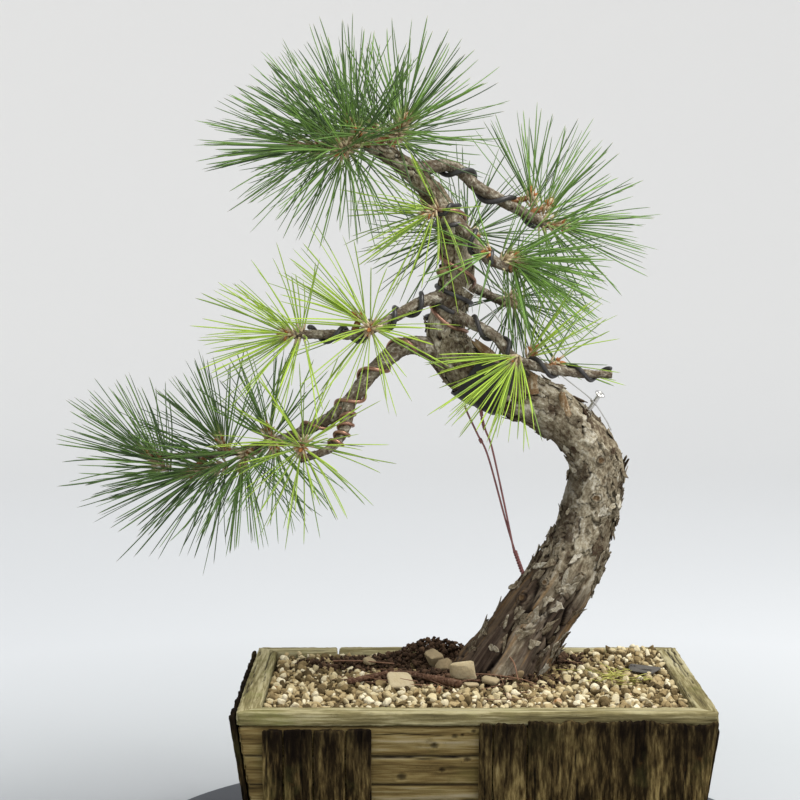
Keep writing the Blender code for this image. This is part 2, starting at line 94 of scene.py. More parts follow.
def object_from(name, shape):
    """An object in the scene from a bmesh, which is used up."""
    mesh = bpy.data.meshes.new(name)
    shape.to_mesh(mesh)
    shape.free()
    thing = bpy.data.objects.new(name, mesh)
    bpy.context.scene.collection.objects.link(thing)
    return thing


# %% floor
FLOOR_FLAT = 3.2
FLOOR_CURL = 3.0
FLOOR_RINGS = 28
FLOOR_SIDES = 96
floor_turns = [math.radians(88.0) * i / FLOOR_RINGS for i in range(1, FLOOR_RINGS + 1)]
floor_outline = [(FLOOR_FLAT * i / 4, 0.0) for i in range(1, 5)]
floor_outline += [
    (FLOOR_FLAT + FLOOR_CURL * math.sin(turn), FLOOR_CURL * (1 - math.cos(turn))) for turn in floor_turns
]
floor_shape = bmesh.new()
floor_middle = floor_shape.verts.new((0.0, 0.0, 0.0))
first_ring = add_rings(floor_shape, floor_outline, FLOOR_SIDES)[0]
for i in range(FLOOR_SIDES):
    floor_shape.faces.new((floor_middle, first_ring[i], first_ring[(i + 1) % FLOOR_SIDES]))
for face in floor_shape.faces:
    face.smooth = True
studio_floor = object_from("studio_floor", floor_shape)
print("floor", len(studio_floor.data.polygons), "faces")

# %% turntable
STAND_RADIUS = 0.268
STAND_CENTRE = (-0.015, -0.018)
STAND_DEPTH = 0.018
STAND_SIDES = 128
# Its top is a hair under the box, so that the two faces don't fight
STAND_TOP = -0.0006
stand_outline = (
    (STAND_RADIUS - 0.002, STAND_TOP), (STAND_RADIUS, -0.003), (STAND_RADIUS, -STAND_DEPTH * 0.8),
    (STAND_RADIUS - 0.003, -STAND_DEPTH),
)
studio_floor.location.z = -STAND_DEPTH
stand_shape = bmesh.new()
stand_rings = add_rings(stand_shape, stand_outline, STAND_SIDES, STAND_CENTRE)
stand_shape.faces.new(stand_rings[0])
stand_shape.faces.new(list(reversed(stand_rings[-1])))
dark_turntable = object_from("dark_turntable", stand_shape)
print("turntable", STAND_RADIUS * 2, "m across")

# %% lights
def soft_lamp(name, place, aim, size, power, colour):
    """A square lamp that faces a point. A bigger lamp gives softer shade."""
    data = bpy.data.lights.new(name, "AREA")
    data.shape = "SQUARE"
    data.size = size
    data.energy = power
    data.color = colour
    lamp = bpy.data.objects.new(name, data)
    lamp.location = place
    lamp.rotation_euler = (Vector(aim) - Vector(place)).to_track_quat("-Z", "Y").to_euler()
    bpy.context.scene.collection.objects.link(lamp)
    return lamp


soft_lamp("lamp_overhead", (0.85, -0.50, 2.0), (0.0, 0.0, 0.30), 1.1, 46.0, (1.0, 0.985, 0.955))
soft_lamp("lamp_front", (1.1, -1.9, 1.15), (0.0, 0.0, 0.30), 1.0, 7.0, (1.0, 0.99, 0.97))
world = bpy.data.worlds.new("studio_air")
world.use_nodes = True
world.node_tree.nodes["Background"].inputs["Color"].default_value = (0.965, 0.975, 1.0, 1.0)
world.node_tree.nodes["Background"].inputs["Strength"].default_value = 0.88
bpy.context.scene.world = world
print("lights: 2 lamps and a pale sky")

# %% [markdown]
# ## Arrays into meshes
#
# Almost every piece here is thousands of points placed by a rule. Adding them one by one is slow,
# so points are worked out as whole arrays and handed to Blender at once. Numbers that a finish
# needs, such as how deep a point lies in a crack, are stored on the points under a name.

# %% mesh helpers
def mesh_of(name, points, *face_groups, smooth=True):
    """A mesh from an array of points and arrays of faces with three or four corners each."""
    corners = np.concatenate([group.ravel() for group in face_groups])
    sizes = np.concatenate([np.full(len(group), group.shape[1]) for group in face_groups])
    mesh = bpy.data.meshes.new(name)
    mesh.vertices.add(len(points))
    mesh.vertices.foreach_set("co", np.asarray(points, np.float32).ravel())
    mesh.loops.add(len(corners))
    mesh.loops.foreach_set("vertex_index", corners.astype(np.int32))
    mesh.polygons.add(len(sizes))
    starts = np.concatenate([[0], np.cumsum(sizes)[:-1]])
    mesh.polygons.foreach_set("loop_start", starts.astype(np.int32))
    mesh.polygons.foreach_set("use_smooth", np.full(len(sizes), smooth))
    mesh.update(calc_edges=True)
    return mesh


def mark(mesh, **marks):
    """Stores numbers or vectors, one for each point, under their names, for the finish to read."""
    for name, values in marks.items():
        values = np.asarray(values, np.float32)
        kind, field = ("FLOAT", "value") if values.ndim == 1 else ("FLOAT_VECTOR", "vector")
        mesh.attributes.new(name, kind, "POINT").data.foreach_set(field, values.ravel())


def add_piece(name, mesh, finish, slot, *nodes):
    """An object for the mesh, riding on the one body and standing for these measured nodes."""
    thing = bpy.data.objects.new(name, mesh)
    bpy.context.scene.collection.objects.link(thing)
    mesh.materials.append(finish)
    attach(thing, "root")
    if nodes:
        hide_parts(*nodes)
    print(f"{name}: {len(mesh.vertices)} points, {len(mesh.polygons)} faces")
    return thing


# %% joining many small shapes
def all_triangles(quads, triangles):
    """Each quad cut in two, with the triangles after them."""
    return np.vstack([quads[:, [0, 1, 2]], quads[:, [0, 2, 3]], triangles])


def joined(shapes):
    """One (points, faces, marks) from many: each a points array, a faces array and a dictionary."""
    counts = np.cumsum([0] + [len(points) for points, _, _ in shapes])
    points = np.concatenate([points for points, _, _ in shapes])
    faces = np.concatenate([faces + start for (_, faces, _), start in zip(shapes, counts)])
    names = shapes[0][2]
    marks = {name: np.concatenate([marks[name] for _, _, marks in shapes]) for name in names}
    return points, faces, marks


def piece_from(name, shapes, finish, slot, *nodes):
    """A piece made of many small shapes joined in one mesh."""
    points, faces, marks = joined(shapes)
    mesh = mesh_of(name, points, faces)
    mark(mesh, **marks)
    return add_piece(name, mesh, finish, slot, *nodes)


# %% [markdown]
# ## Noise for whole arrays
#
# Bark, wood and stone all need two patterns. Smooth noise gives lumps and wander: random values on
# a lattice, blended between. Cell noise gives plates and cracks: each lattice cell holds one random
# seed point, and the gap between the nearest and the second nearest seed is zero on a plate's edge.
# Both are worked out here on arrays, so a hundred thousand points take a moment.

# %% noise helpers
def scatter(lattice, seed):
    """A random number from 0 to 1 for each whole-number lattice place."""
    x, y, z = (lattice[..., i].astype(np.int64) for i in range(3))
    mixed_bits = (x * 73856093) ^ (y * 19349663) ^ (z * 83492791) ^ (seed * 668265263)
    mixed_bits = (mixed_bits ^ (mixed_bits >> 13)) * 1274126177 & 0xFFFFFFFF
    mixed_bits = (mixed_bits ^ (mixed_bits >> 16)) * 2246822519 & 0xFFFFFFFF
    return ((mixed_bits >> 7) & 0xFFFFFF) / float(0x1000000)


def smooth_noise(points, cell, seed=0):
    """Smooth noise from -1 to 1. The cell is how far apart its lumps are, one number or three."""
    place = points / np.asarray(cell) + 500.0
    corner = np.floor(place)
    share = place - corner
    share = share * share * (3 - 2 * share)
    total = np.zeros(len(points))
    for step in itertools.product((0, 1), repeat=3):
        weight = np.prod(np.where(step, share, 1 - share), axis=1)
        total += weight * scatter(corner + step, seed)
    return 2 * total - 1


def cell_noise(points, cell, seed=0):
    """(gap, number, offset): how far inside its cell a point is, the cell's number, and the way
    from the cell's seed to the point."""
    place = points / cell + 500.0
    corner = np.floor(place)
    nearest = np.full(len(points), 9.0)
    second = nearest.copy()
    number = np.zeros(len(points))
    offset = np.zeros_like(points)
    for step in itertools.product((-1, 0, 1), repeat=3):
        lattice = corner + step
        jitter = np.stack([scatter(lattice, seed + i) for i in (1, 2, 3)], axis=1)
        away = place - (lattice + jitter)
        distance = np.sqrt((away**2).sum(axis=1))
        closer = distance < nearest
        second = np.where(closer, nearest, np.minimum(second, distance))
        number = np.where(closer, scatter(lattice, seed + 9), number)
        offset = np.where(closer[:, None], away, offset)
        nearest = np.where(closer, distance, nearest)
    return (second - nearest) * cell, number, offset * cell


def ease(value, low, high):
    """0 below low, 1 above high, and a smooth step between."""
    share = np.clip((value - low) / (high - low), 0.0, 1.0)
    return share * share * (3 - 2 * share)


print("noise check:", round(float(smooth_noise(np.array([[0.1, 0.2, 0.3]]), 0.05)[0]), 4))

# %% [markdown]
# ## Smooth paths and tubes
#
# The trunk, branches, twigs and wires are all tubes along a path. A Catmull-Rom curve passes
# through every measured place, so the path needs only a few of them. The ring's directions are
# carried along the path without twist, so a pattern on the tube doesn't spiral by itself.

# %% path helpers
def smooth_path(points_mm, spacing_mm):
    """Rows of x, y, z and radius in metres, about this far apart, through these places."""
    knots = np.array(points_mm, float) * MM
    knots = np.vstack([2 * knots[0] - knots[1], knots, 2 * knots[-1] - knots[-2]])
    rows = []
    for a, b, c, d in zip(knots, knots[1:], knots[2:], knots[3:]):
        steps = max(1, round(np.linalg.norm((c - b)[:3]) / (spacing_mm * MM)))
        t = np.arange(steps)[:, None] / steps
        bend = 2 * a - 5 * b + 4 * c - d
        rows.append(0.5 * (2 * b + (c - a) * t + bend * t**2 + (3 * b - a - 3 * c + d) * t**3))
    rows.append(knots[-2:-1])
    return np.vstack(rows)


def unit(vectors):
    """The vectors made one metre long."""
    return vectors / np.linalg.norm(vectors, axis=-1, keepdims=True)


def arc_lengths(path):
    """The distance along the path at each of its points."""
    steps = np.linalg.norm(np.diff(path[:, :3], axis=0), axis=1)
    return np.concatenate([[0.0], np.cumsum(steps)])


def frames_along(path):
    """The direction ahead and two directions square to it at each point, carried without twist."""
    ahead = unit(np.gradient(path[:, :3], axis=0))
    side = np.empty_like(ahead)
    current = np.array(Vector(ahead[0]).orthogonal())
    for i, direction in enumerate(ahead):
        current = current - direction * current.dot(direction)
        current /= np.linalg.norm(current)
        side[i] = current
    return ahead, side, np.cross(ahead, side)


def square_to(direction):
    """Two directions square to this one and to each other."""
    side = np.array(Vector(direction).orthogonal())
    return side, np.cross(direction, side)


def turns_of(sides):
    """The angles of a ring's points."""
    return 2 * np.pi * np.arange(sides) / sides


def read_along(at, lengths, rows):
    """The rows of numbers at these distances, read off between the given ones."""
    return np.stack([np.interp(at, lengths, column) for column in rows.T], axis=-1)


def tube_points(path, frames, reach):
    """(points, outward): reach[i, j] is how far point j of ring i stands off the path."""
    turn = turns_of(reach.shape[1])
    _, side, up = frames
    outward = np.cos(turn)[None, :, None] * side[:, None] + np.sin(turn)[None, :, None] * up[:, None]
    return path[:, None, :3] + reach[:, :, None] * outward, outward


def wall_quads(rings, sides):
    """The quads between rings of points that follow each other."""
    i, j = np.meshgrid(np.arange(rings - 1), np.arange(sides), indexing="ij")
    after = (j + 1) % sides
    walls = (i * sides + j, i * sides + after, (i + 1) * sides + after, (i + 1) * sides + j)
    return np.stack(walls, -1).reshape(-1, 4)


def tube_faces(rings, sides):
    """The quads between the rings, and the triangles that close both ends on two last points."""
    round_first = np.arange(sides)
    round_next = (round_first + 1) % sides
    last = (rings - 1) * sides
    first_cap = np.stack([np.full(sides, rings * sides), round_next, round_first], -1)
    last_cap = np.stack([np.full(sides, rings * sides + 1), last + round_first, last + round_next], -1)
    return wall_quads(rings, sides), np.vstack([first_cap, last_cap])


def closed_tube(path, reach):
    """Points, quads and end triangles of a tube. The two last points close its ends."""
    points, _ = tube_points(path, frames_along(path), reach)
    rings, sides = reach.shape
    ends = np.array([path[0, :3], path[-1, :3]])
    return np.vstack([points.reshape(-1, 3), ends]), *tube_faces(rings, sides)


def round_tube(path, sides=12):
    """A plain round tube along rows of x, y, z and radius."""
    return closed_tube(path, np.repeat(path[:, 3:4], sides, axis=1))

# %% [markdown]
# ## Short ways to build a finish
#
# A finish is a small net of nodes that ends in one Principled shader. These helpers add a node with
# its values in one line, so that each material below reads as a list of what it is made of.

# %% node helpers
def add_node(tree, kind, values=None, **settings):
    """A node with its settings, and with each named socket set to a value or joined to a socket."""
    node = tree.nodes.new(kind)
    for name, setting in settings.items():
        setattr(node, name, setting)
    for socket, value in (values or {}).items():
        if isinstance(value, bpy.types.NodeSocket):
            tree.links.new(value, node.inputs[socket])
        else:
            node.inputs[socket].default_value = value
    return node


def rgb(red, green, blue):
    return (red, green, blue, 1.0)


def blend_rgb(first, second, share):
    return tuple(a + (b - a) * share for a, b in zip(first, second))


def blended(tree, share, first, second, mode="MIX"):
    """The colour between two colours, by a share from 0 to 1."""
    values = {0: share, 6: first, 7: second}
    return add_node(tree, "ShaderNodeMix", values, data_type="RGBA", blend_type=mode).outputs[2]


def sums(tree, operation, first, second=0.0, third=0.0, clamp=False):
    """One step of arithmetic on values that change over the surface."""
    values = {0: first, 1: second, 2: third}
    node = add_node(tree, "ShaderNodeMath", values, operation=operation, use_clamp=clamp)
    return node.outputs[0]


def ramp(tree, value, *stops):
    """A colour for each value, from (place, colour) stops."""
    node = add_node(tree, "ShaderNodeValToRGB", {0: value})
    elements = node.color_ramp.elements
    while len(elements) < len(stops):
        elements.new(0.5)
    for element, (place, colour) in zip(elements, stops):
        element.position = place
        element.color = colour
    return node.outputs["Color"]


def stored(tree, name, kind="Fac"):
    """The number or vector stored on the points under this name."""
    return add_node(tree, "ShaderNodeAttribute", attribute_name=name).outputs[kind]


def noise_value(tree, place, scale, detail=4.0, roughness=0.55):
    values = {"Vector": place, "Scale": scale, "Detail": detail, "Roughness": roughness}
    return add_node(tree, "ShaderNodeTexNoise", values).outputs[0]


def object_place(tree):
    return add_node(tree, "ShaderNodeTexCoord").outputs["Object"]


def new_finish(name, roughness=0.8, specular=0.3):
    """(material, its tree, its Principled shader)."""
    material = bpy.data.materials.new(name)
    material.use_nodes = True
    shader = material.node_tree.nodes["Principled BSDF"]
    shader.inputs["Roughness"].default_value = roughness
    shader.inputs["Specular IOR Level"].default_value = specular
    return material, material.node_tree, shader


def give(tree, shader, colour=None, roughness=None, height=None, depth=0.0005, strength=0.6):
    """Joins a colour, a roughness and a bump height to the shader."""
    if colour is not None:
        tree.links.new(colour, shader.inputs["Base Color"])
    if roughness is not None:
        tree.links.new(roughness, shader.inputs["Roughness"])
    if height is not None:
        values = {"Height": height, "Distance": depth, "Strength": strength}
        bump = add_node(tree, "ShaderNodeBump", values)
        tree.links.new(bump.outputs["Normal"], shader.inputs["Normal"])


# %% [markdown]
# ## Effects that several finishes share
#
# Weathered wood shows the same two things everywhere: fine streaks that run along the board, and
# spots of stain or lichen. Bark, stone and old boards share a crumbly, pitted surface. Each of these
# is made once as a node group with its own inputs, and gives out only masks and heights, so each
# finish still keeps its own shader.

# %% shared groups
def new_group(name, inputs, outputs):
    """An empty node group with these inputs (name: kind or value) and these outputs."""
    group = bpy.data.node_groups.new(name, "ShaderNodeTree")
    for label, value in inputs.items():
        kind = "NodeSocketVector" if value is None else "NodeSocketFloat"
        socket = group.interface.new_socket(label, in_out="INPUT", socket_type=kind)
        if value is not None:
            socket.default_value = value
    for label in outputs:
        group.interface.new_socket(label, in_out="OUTPUT", socket_type="NodeSocketFloat")
    return group, group.nodes.new("NodeGroupInput").outputs, group.nodes.new("NodeGroupOutput").inputs


def use_group(tree, group, **values):
    """The group placed in a material, with its inputs set or joined. Gives its outputs."""
    node = add_node(tree, "ShaderNodeGroup", node_tree=group)
    for label, value in values.items():
        socket = node.inputs[label.capitalize()]
        if isinstance(value, bpy.types.NodeSocket):
            tree.links.new(value, socket)
        else:
            socket.default_value = value
    return node.outputs


def wood_streaks_group():
    """Fine and broad streaks along the first direction of Place."""
    inputs = {"Place": None, "Stretch": 14.0, "Scale": 260.0}
    group, given, out = new_group("wood_streaks", inputs, ("Fine", "Broad"))
    squeeze = add_node(group, "ShaderNodeMath", {0: 1.0, 1: given["Stretch"]}, operation="DIVIDE").outputs[0]
    along = add_node(group, "ShaderNodeCombineXYZ", {0: squeeze, 1: 1.0, 2: 1.0}).outputs[0]
    stretched = {0: given["Place"], 1: along}
    placed = add_node(group, "ShaderNodeVectorMath", stretched, operation="MULTIPLY").outputs[0]
    fine = noise_value(group, placed, given["Scale"], 5.0, 0.62)
    broad_scale = sums(group, "MULTIPLY", given["Scale"], 0.19)
    group.links.new(fine, out["Fine"])
    group.links.new(noise_value(group, placed, broad_scale, 4.0, 0.6), out["Broad"])
    return group


def patches_group():
    """Ragged patches: 1 inside, 0 outside. Amount is the share of the surface that they cover."""
    inputs = {"Place": None, "Scale": 30.0, "Amount": 0.3, "Edge": 0.06}
    group, given, out = new_group("stain_patches", inputs, ("Mask",))
    rough = noise_value(group, given["Place"], given["Scale"], 7.0, 0.66)
    level = sums(group, "SUBTRACT", 0.72, sums(group, "MULTIPLY", given["Amount"], 0.44))
    above = sums(group, "SUBTRACT", rough, level)
    mask = sums(group, "DIVIDE", above, given["Edge"], clamp=True)
    group.links.new(mask, out["Mask"])
    return group


def crumble_group():
    """A crumbly height with small pits, for bark, stone and old wood."""
    group, given, out = new_group("crumbly_surface", {"Place": None, "Scale": 500.0}, ("Height", "Pits"))
    grainy = noise_value(group, given["Place"], given["Scale"], 6.0, 0.65)
    cells = add_node(group, "ShaderNodeTexVoronoi", {"Vector": given["Place"], "Scale": given["Scale"]})
    pits = sums(group, "MULTIPLY", cells.outputs["Distance"], 1.6, clamp=True)
    height = sums(group, "MULTIPLY_ADD", grainy, 0.7, sums(group, "MULTIPLY", pits, 0.3))
    group.links.new(height, out["Height"])
    group.links.new(pits, out["Pits"])
    return group


WOOD_STREAKS = wood_streaks_group()
STAIN_PATCHES = patches_group()
CRUMBLY = crumble_group()
print("shared groups:", [group.name for group in (WOOD_STREAKS, STAIN_PATCHES, CRUMBLY)])

# %% [markdown]
# ## The stage
#
# The floor is a matt sheet of pale paper with hardly any texture. Its colour is a ramp over the
# distance from the middle: painted shade makes it darker and cooler near the box, and painted light
# makes it warmer and paler far from it.
# The turntable is one dark coat of paint.

# %% stage finishes
def floor_finish():
    material, tree, shader = new_finish("pale_paper", 0.9, 0.1)
    place = object_place(tree)
    away = add_node(tree, "ShaderNodeVectorMath", {0: place}, operation="LENGTH").outputs["Value"]
    # Painted shade near the box and painted light far from it, by the distance from the middle
    pale = ramp(
        tree, sums(tree, "MULTIPLY", away, 0.125),
        (0.02, rgb(0.43, 0.445, 0.46)), (0.06, rgb(0.48, 0.50, 0.51)), (0.13, rgb(0.65, 0.67, 0.685)),
        (0.28, rgb(0.74, 0.755, 0.76)), (0.56, rgb(0.85, 0.85, 0.835)), (1.0, rgb(0.94, 0.925, 0.90)),
    )
    fibre = noise_value(tree, place, 90.0)
    colour = blended(tree, sums(tree, "MULTIPLY", fibre, 0.04), pale, rgb(0.70, 0.70, 0.70))
    give(tree, shader, colour)
    return material


studio_floor.data.materials.append(floor_finish())
turntable_finish, _, turntable_shader = new_finish("dark_paint", 0.55, 0.3)
turntable_shader.inputs["Base Color"].default_value = rgb(0.055, 0.062, 0.075)
dark_turntable.data.materials.append(turntable_finish)
print("stage finishes: pale paper, dark paint")

# %% [markdown]
# ## Bark finishes
#
# Old pine bark is grey and weathered on the outside of each plate, red-brown where a layer has just
# come off, and almost black deep in the cracks, a dark colour that is partly painted shade. The mesh
# stores how deep each point is and which plate and scale it belongs to. So the colour follows the
# real relief. A stored shade mark also paints shade on the undersides, and on the inner side of the
# trunk's foot. Near the foot the outer bark has gone, and streaks of the inner bark run up the wood.

# %% bark finish
def turned_place(tree, place):
    """The place with its third direction first, so that streaks run along the wood."""
    parts = add_node(tree, "ShaderNodeSeparateXYZ", {0: place}).outputs
    return add_node(tree, "ShaderNodeCombineXYZ", {0: parts["Z"], 1: parts["X"], 2: parts["Y"]}).outputs[0]


def bark_finish(name, light, middle, fresh, deep, fine_scale, dust=1.0):
    """Bark in four colours, from weathered plates to deep cracks. Dust is the pale bloom on it."""
    material, tree, shader = new_finish(name, 0.95, 0.05)
    place = stored(tree, "bark_place", "Vector")
    plate, scale, rise = stored(tree, "plate"), stored(tree, "scale"), stored(tree, "rise")
    knot, shade = stored(tree, "knot"), stored(tree, "shade")
    fine = noise_value(tree, place, fine_scale, 7.0, 0.7)
    cloud = noise_value(tree, place, fine_scale * 0.12, 4.0, 0.6)
    mixed_value = sums(tree, "MULTIPLY_ADD", plate, 0.20, sums(tree, "MULTIPLY", scale, 0.26))
    mixed_value = sums(tree, "ADD", mixed_value, sums(tree, "MULTIPLY", fine, 0.80))
    bloom = blend_rgb(light, rgb(0.86, 0.82, 0.70), 0.6 * dust)
    colour = ramp(tree, mixed_value, (0.40, fresh), (0.53, middle), (0.68, light), (0.86, bloom))
    worn = use_group(tree, STAIN_PATCHES, place=place, scale=62.0, amount=0.36, edge=0.08)["Mask"]
    colour = blended(tree, sums(tree, "MULTIPLY", worn, 0.78), colour, fresh)
    lichen = use_group(tree, STAIN_PATCHES, place=place, scale=150.0, amount=0.16, edge=0.07)["Mask"]
    colour = blended(tree, sums(tree, "MULTIPLY", lichen, 0.5 * dust), colour, rgb(0.50, 0.47, 0.36))
    streaks = use_group(tree, WOOD_STREAKS, place=turned_place(tree, place), stretch=7.0, scale=240.0)
    tone = sums(tree, "MULTIPLY_ADD", streaks["Fine"], 0.55, sums(tree, "MULTIPLY", streaks["Broad"], 0.50))
    inner = ramp(
        tree, tone,
        (0.40, rgb(0.020, 0.014, 0.011)), (0.49, rgb(0.085, 0.060, 0.046)), (0.56, rgb(0.19, 0.145, 0.105)),
        (0.63, rgb(0.34, 0.20, 0.085)), (0.72, rgb(0.48, 0.40, 0.29)),
    )
    colour = blended(tree, stored(tree, "foot"), colour, inner)
    # Painted shade: the stored shade mark darkens the colour towards a near-black brown
    colour = blended(tree, sums(tree, "MULTIPLY", shade, 0.85), colour, rgb(0.035, 0.023, 0.016))
    # Where the relief is low the colour goes to the deep colour: the dark bark inside the cracks, with painted
    # shade in them
    crack = ramp(tree, rise, (0.05, rgb(1, 1, 1)), (0.62, rgb(0.30, 0.30, 0.30)), (0.88, rgb(0, 0, 0)))
    colour = blended(tree, crack, colour, deep)
    colour = blended(tree, sums(tree, "MULTIPLY", knot, 0.8), colour, rgb(0.27, 0.17, 0.085))
    dark = ramp(tree, cloud, (0.30, rgb(0.62, 0.60, 0.58)), (0.62, rgb(1, 1, 1)))
    colour = blended(tree, 1.0, colour, dark, "MULTIPLY")
    crumbs = use_group(tree, CRUMBLY, place=place, scale=fine_scale * 2.2)["Height"]
    give(tree, shader, colour, None, crumbs, 0.0007, 0.8)
    return material


TRUNK_BARK = bark_finish(
    "trunk_bark", rgb(0.33, 0.285, 0.200), rgb(0.145, 0.115, 0.075), rgb(0.070, 0.045, 0.030),
    rgb(0.008, 0.005, 0.004), 330.0,
)
BRANCH_BARK = bark_finish(
    "branch_bark", rgb(0.26, 0.225, 0.17), rgb(0.135, 0.105, 0.075), rgb(0.11, 0.072, 0.048),
    rgb(0.030, 0.020, 0.014), 480.0,
)
TWIG_BARK = bark_finish(
    "twig_bark", rgb(0.36, 0.19, 0.085), rgb(0.22, 0.10, 0.045), rgb(0.15, 0.062, 0.028),
    rgb(0.045, 0.018, 0.010), 700.0,
)
print("bark finishes: trunk, branch, twig")

# %% [markdown]
# ## Needle, sheath and bud finishes
#
# A pine needle has a soft gloss. It is green, paler at its base and drier at its tip, with fine pale
# lines of pores along it. Healthy tufts are deep green, and the weaker ones are yellow-green. Each
# needle carries its own tint, from nearly black-green to bright, so no two are the same.

# %% needle finish
def needle_finish(name, deep, bright, lift):
    material, tree, shader = new_finish(name, 0.48, 0.20)
    along, tint, around = stored(tree, "along"), stored(tree, "tint"), stored(tree, "around")
    colour = blended(tree, tint, deep, bright)
    mottle = noise_value(tree, object_place(tree), 320.0, 3.0)
    colour = blended(tree, sums(tree, "MULTIPLY", mottle, 0.35), colour, lift)
    base = ramp(tree, along, (0.02, rgb(1, 1, 1)), (0.16, rgb(0, 0, 0)))
    colour = blended(tree, sums(tree, "MULTIPLY", base, 0.75), colour, rgb(0.50, 0.56, 0.22))
    tip = ramp(tree, along, (0.955, rgb(0, 0, 0)), (0.99, rgb(1, 1, 1)))
    colour = blended(tree, sums(tree, "MULTIPLY", tip, 0.7), colour, rgb(0.30, 0.20, 0.06))
    lines = sums(tree, "SINE", sums(tree, "MULTIPLY", around, 37.7))
    colour = blended(tree, sums(tree, "MULTIPLY_ADD", lines, 0.07, 0.07), colour, rgb(0.60, 0.72, 0.42))
    give(tree, shader, colour, None, lines, 0.00008, 0.5)
    return material


NEEDLES_GREEN = needle_finish(
    "needles_green", rgb(0.006, 0.026, 0.007), rgb(0.20, 0.385, 0.045), rgb(0.11, 0.24, 0.045)
)
NEEDLES_LIGHT = needle_finish(
    "needles_light", rgb(0.025, 0.085, 0.010), rgb(0.50, 0.70, 0.050), rgb(0.30, 0.48, 0.06)
)


def papery_finish(name, low, high, scale, shine=0.25):
    """Bud scales and needle sheaths: thin dry skin with fine lengthwise lines."""
    material, tree, shader = new_finish(name, 0.7, shine)
    tint = stored(tree, "tint")
    fine = noise_value(tree, object_place(tree), scale, 5.0, 0.6)
    value = sums(tree, "MULTIPLY_ADD", tint, 0.45, sums(tree, "MULTIPLY", fine, 0.6))
    colour = ramp(tree, value, (0.2, low), (0.8, high))
    give(tree, shader, colour, None, fine, 0.0002, 0.5)
    return material


SHEATH = papery_finish("needle_sheath", rgb(0.26, 0.17, 0.085), rgb(0.68, 0.58, 0.38), 900.0)
BUD = papery_finish("bud_scales", rgb(0.18, 0.055, 0.020), rgb(0.60, 0.26, 0.085), 800.0)
DRY_NEEDLE = papery_finish("dry_needle", rgb(0.13, 0.062, 0.038), rgb(0.34, 0.20, 0.115), 300.0)
MOSSY = papery_finish("yellow_moss", rgb(0.25, 0.24, 0.05), rgb(0.58, 0.56, 0.16), 300.0)
print("needle finishes ready")

# %% [markdown]
# ## Wood of the box
#
# The rim and the level boards are grey-green old wood. The thin slats outside are burnt dark at the
# top, with brown, ochre and green streaks running down. Cracks and open grain are in the mesh and
# marked on it. The streaks follow each board's own direction, stored on its points.

# %% board finishes
def board_finish(name, pale, dark, brown, moss, moss_amount):
    """Old sawn wood: streaks of three browns, patches of moss and dirt, and dark cracks."""
    material, tree, shader = new_finish(name, 0.92, 0.04)
    place = stored(tree, "grain", "Vector")
    streaks = use_group(tree, WOOD_STREAKS, place=place, stretch=16.0, scale=420.0)
    tone = sums(tree, "MULTIPLY_ADD", streaks["Fine"], 0.55, sums(tree, "MULTIPLY", streaks["Broad"], 0.55))
    bleached = blend_rgb(pale, rgb(0.8, 0.78, 0.7), 0.18)
    colour = ramp(tree, tone, (0.36, dark), (0.50, brown), (0.60, pale), (0.76, bleached))
    green = use_group(tree, STAIN_PATCHES, place=place, scale=22.0, amount=moss_amount, edge=0.22)["Mask"]
    colour = blended(tree, sums(tree, "MULTIPLY", green, 0.62), colour, moss)
    dirt = use_group(tree, STAIN_PATCHES, place=place, scale=60.0, amount=0.30, edge=0.15)["Mask"]
    colour = blended(tree, sums(tree, "MULTIPLY", dirt, 0.5), colour, dark)
    specks = use_group(tree, STAIN_PATCHES, place=place, scale=480.0, amount=0.16, edge=0.05)["Mask"]
    colour = blended(tree, sums(tree, "MULTIPLY", specks, 0.6), colour, rgb(0.035, 0.028, 0.018))
    colour = blended(tree, stored(tree, "crack"), colour, rgb(0.014, 0.010, 0.007))
    crumbs = use_group(tree, CRUMBLY, place=place, scale=700.0)["Height"]
    height = sums(tree, "MULTIPLY_ADD", streaks["Fine"], 1.2, sums(tree, "MULTIPLY", crumbs, 0.4))
    give(tree, shader, colour, None, height, 0.0006, 0.8)
    return material


RIM_WOOD = board_finish(
    "rim_wood", rgb(0.36, 0.32, 0.18), rgb(0.050, 0.040, 0.020), rgb(0.180, 0.152, 0.070),
    rgb(0.165, 0.17, 0.050), 0.42,
)
WALL_WOOD = board_finish(
    "wall_wood", rgb(0.250, 0.190, 0.078), rgb(0.040, 0.028, 0.012), rgb(0.146, 0.100, 0.037),
    rgb(0.130, 0.117, 0.036), 0.42,
)


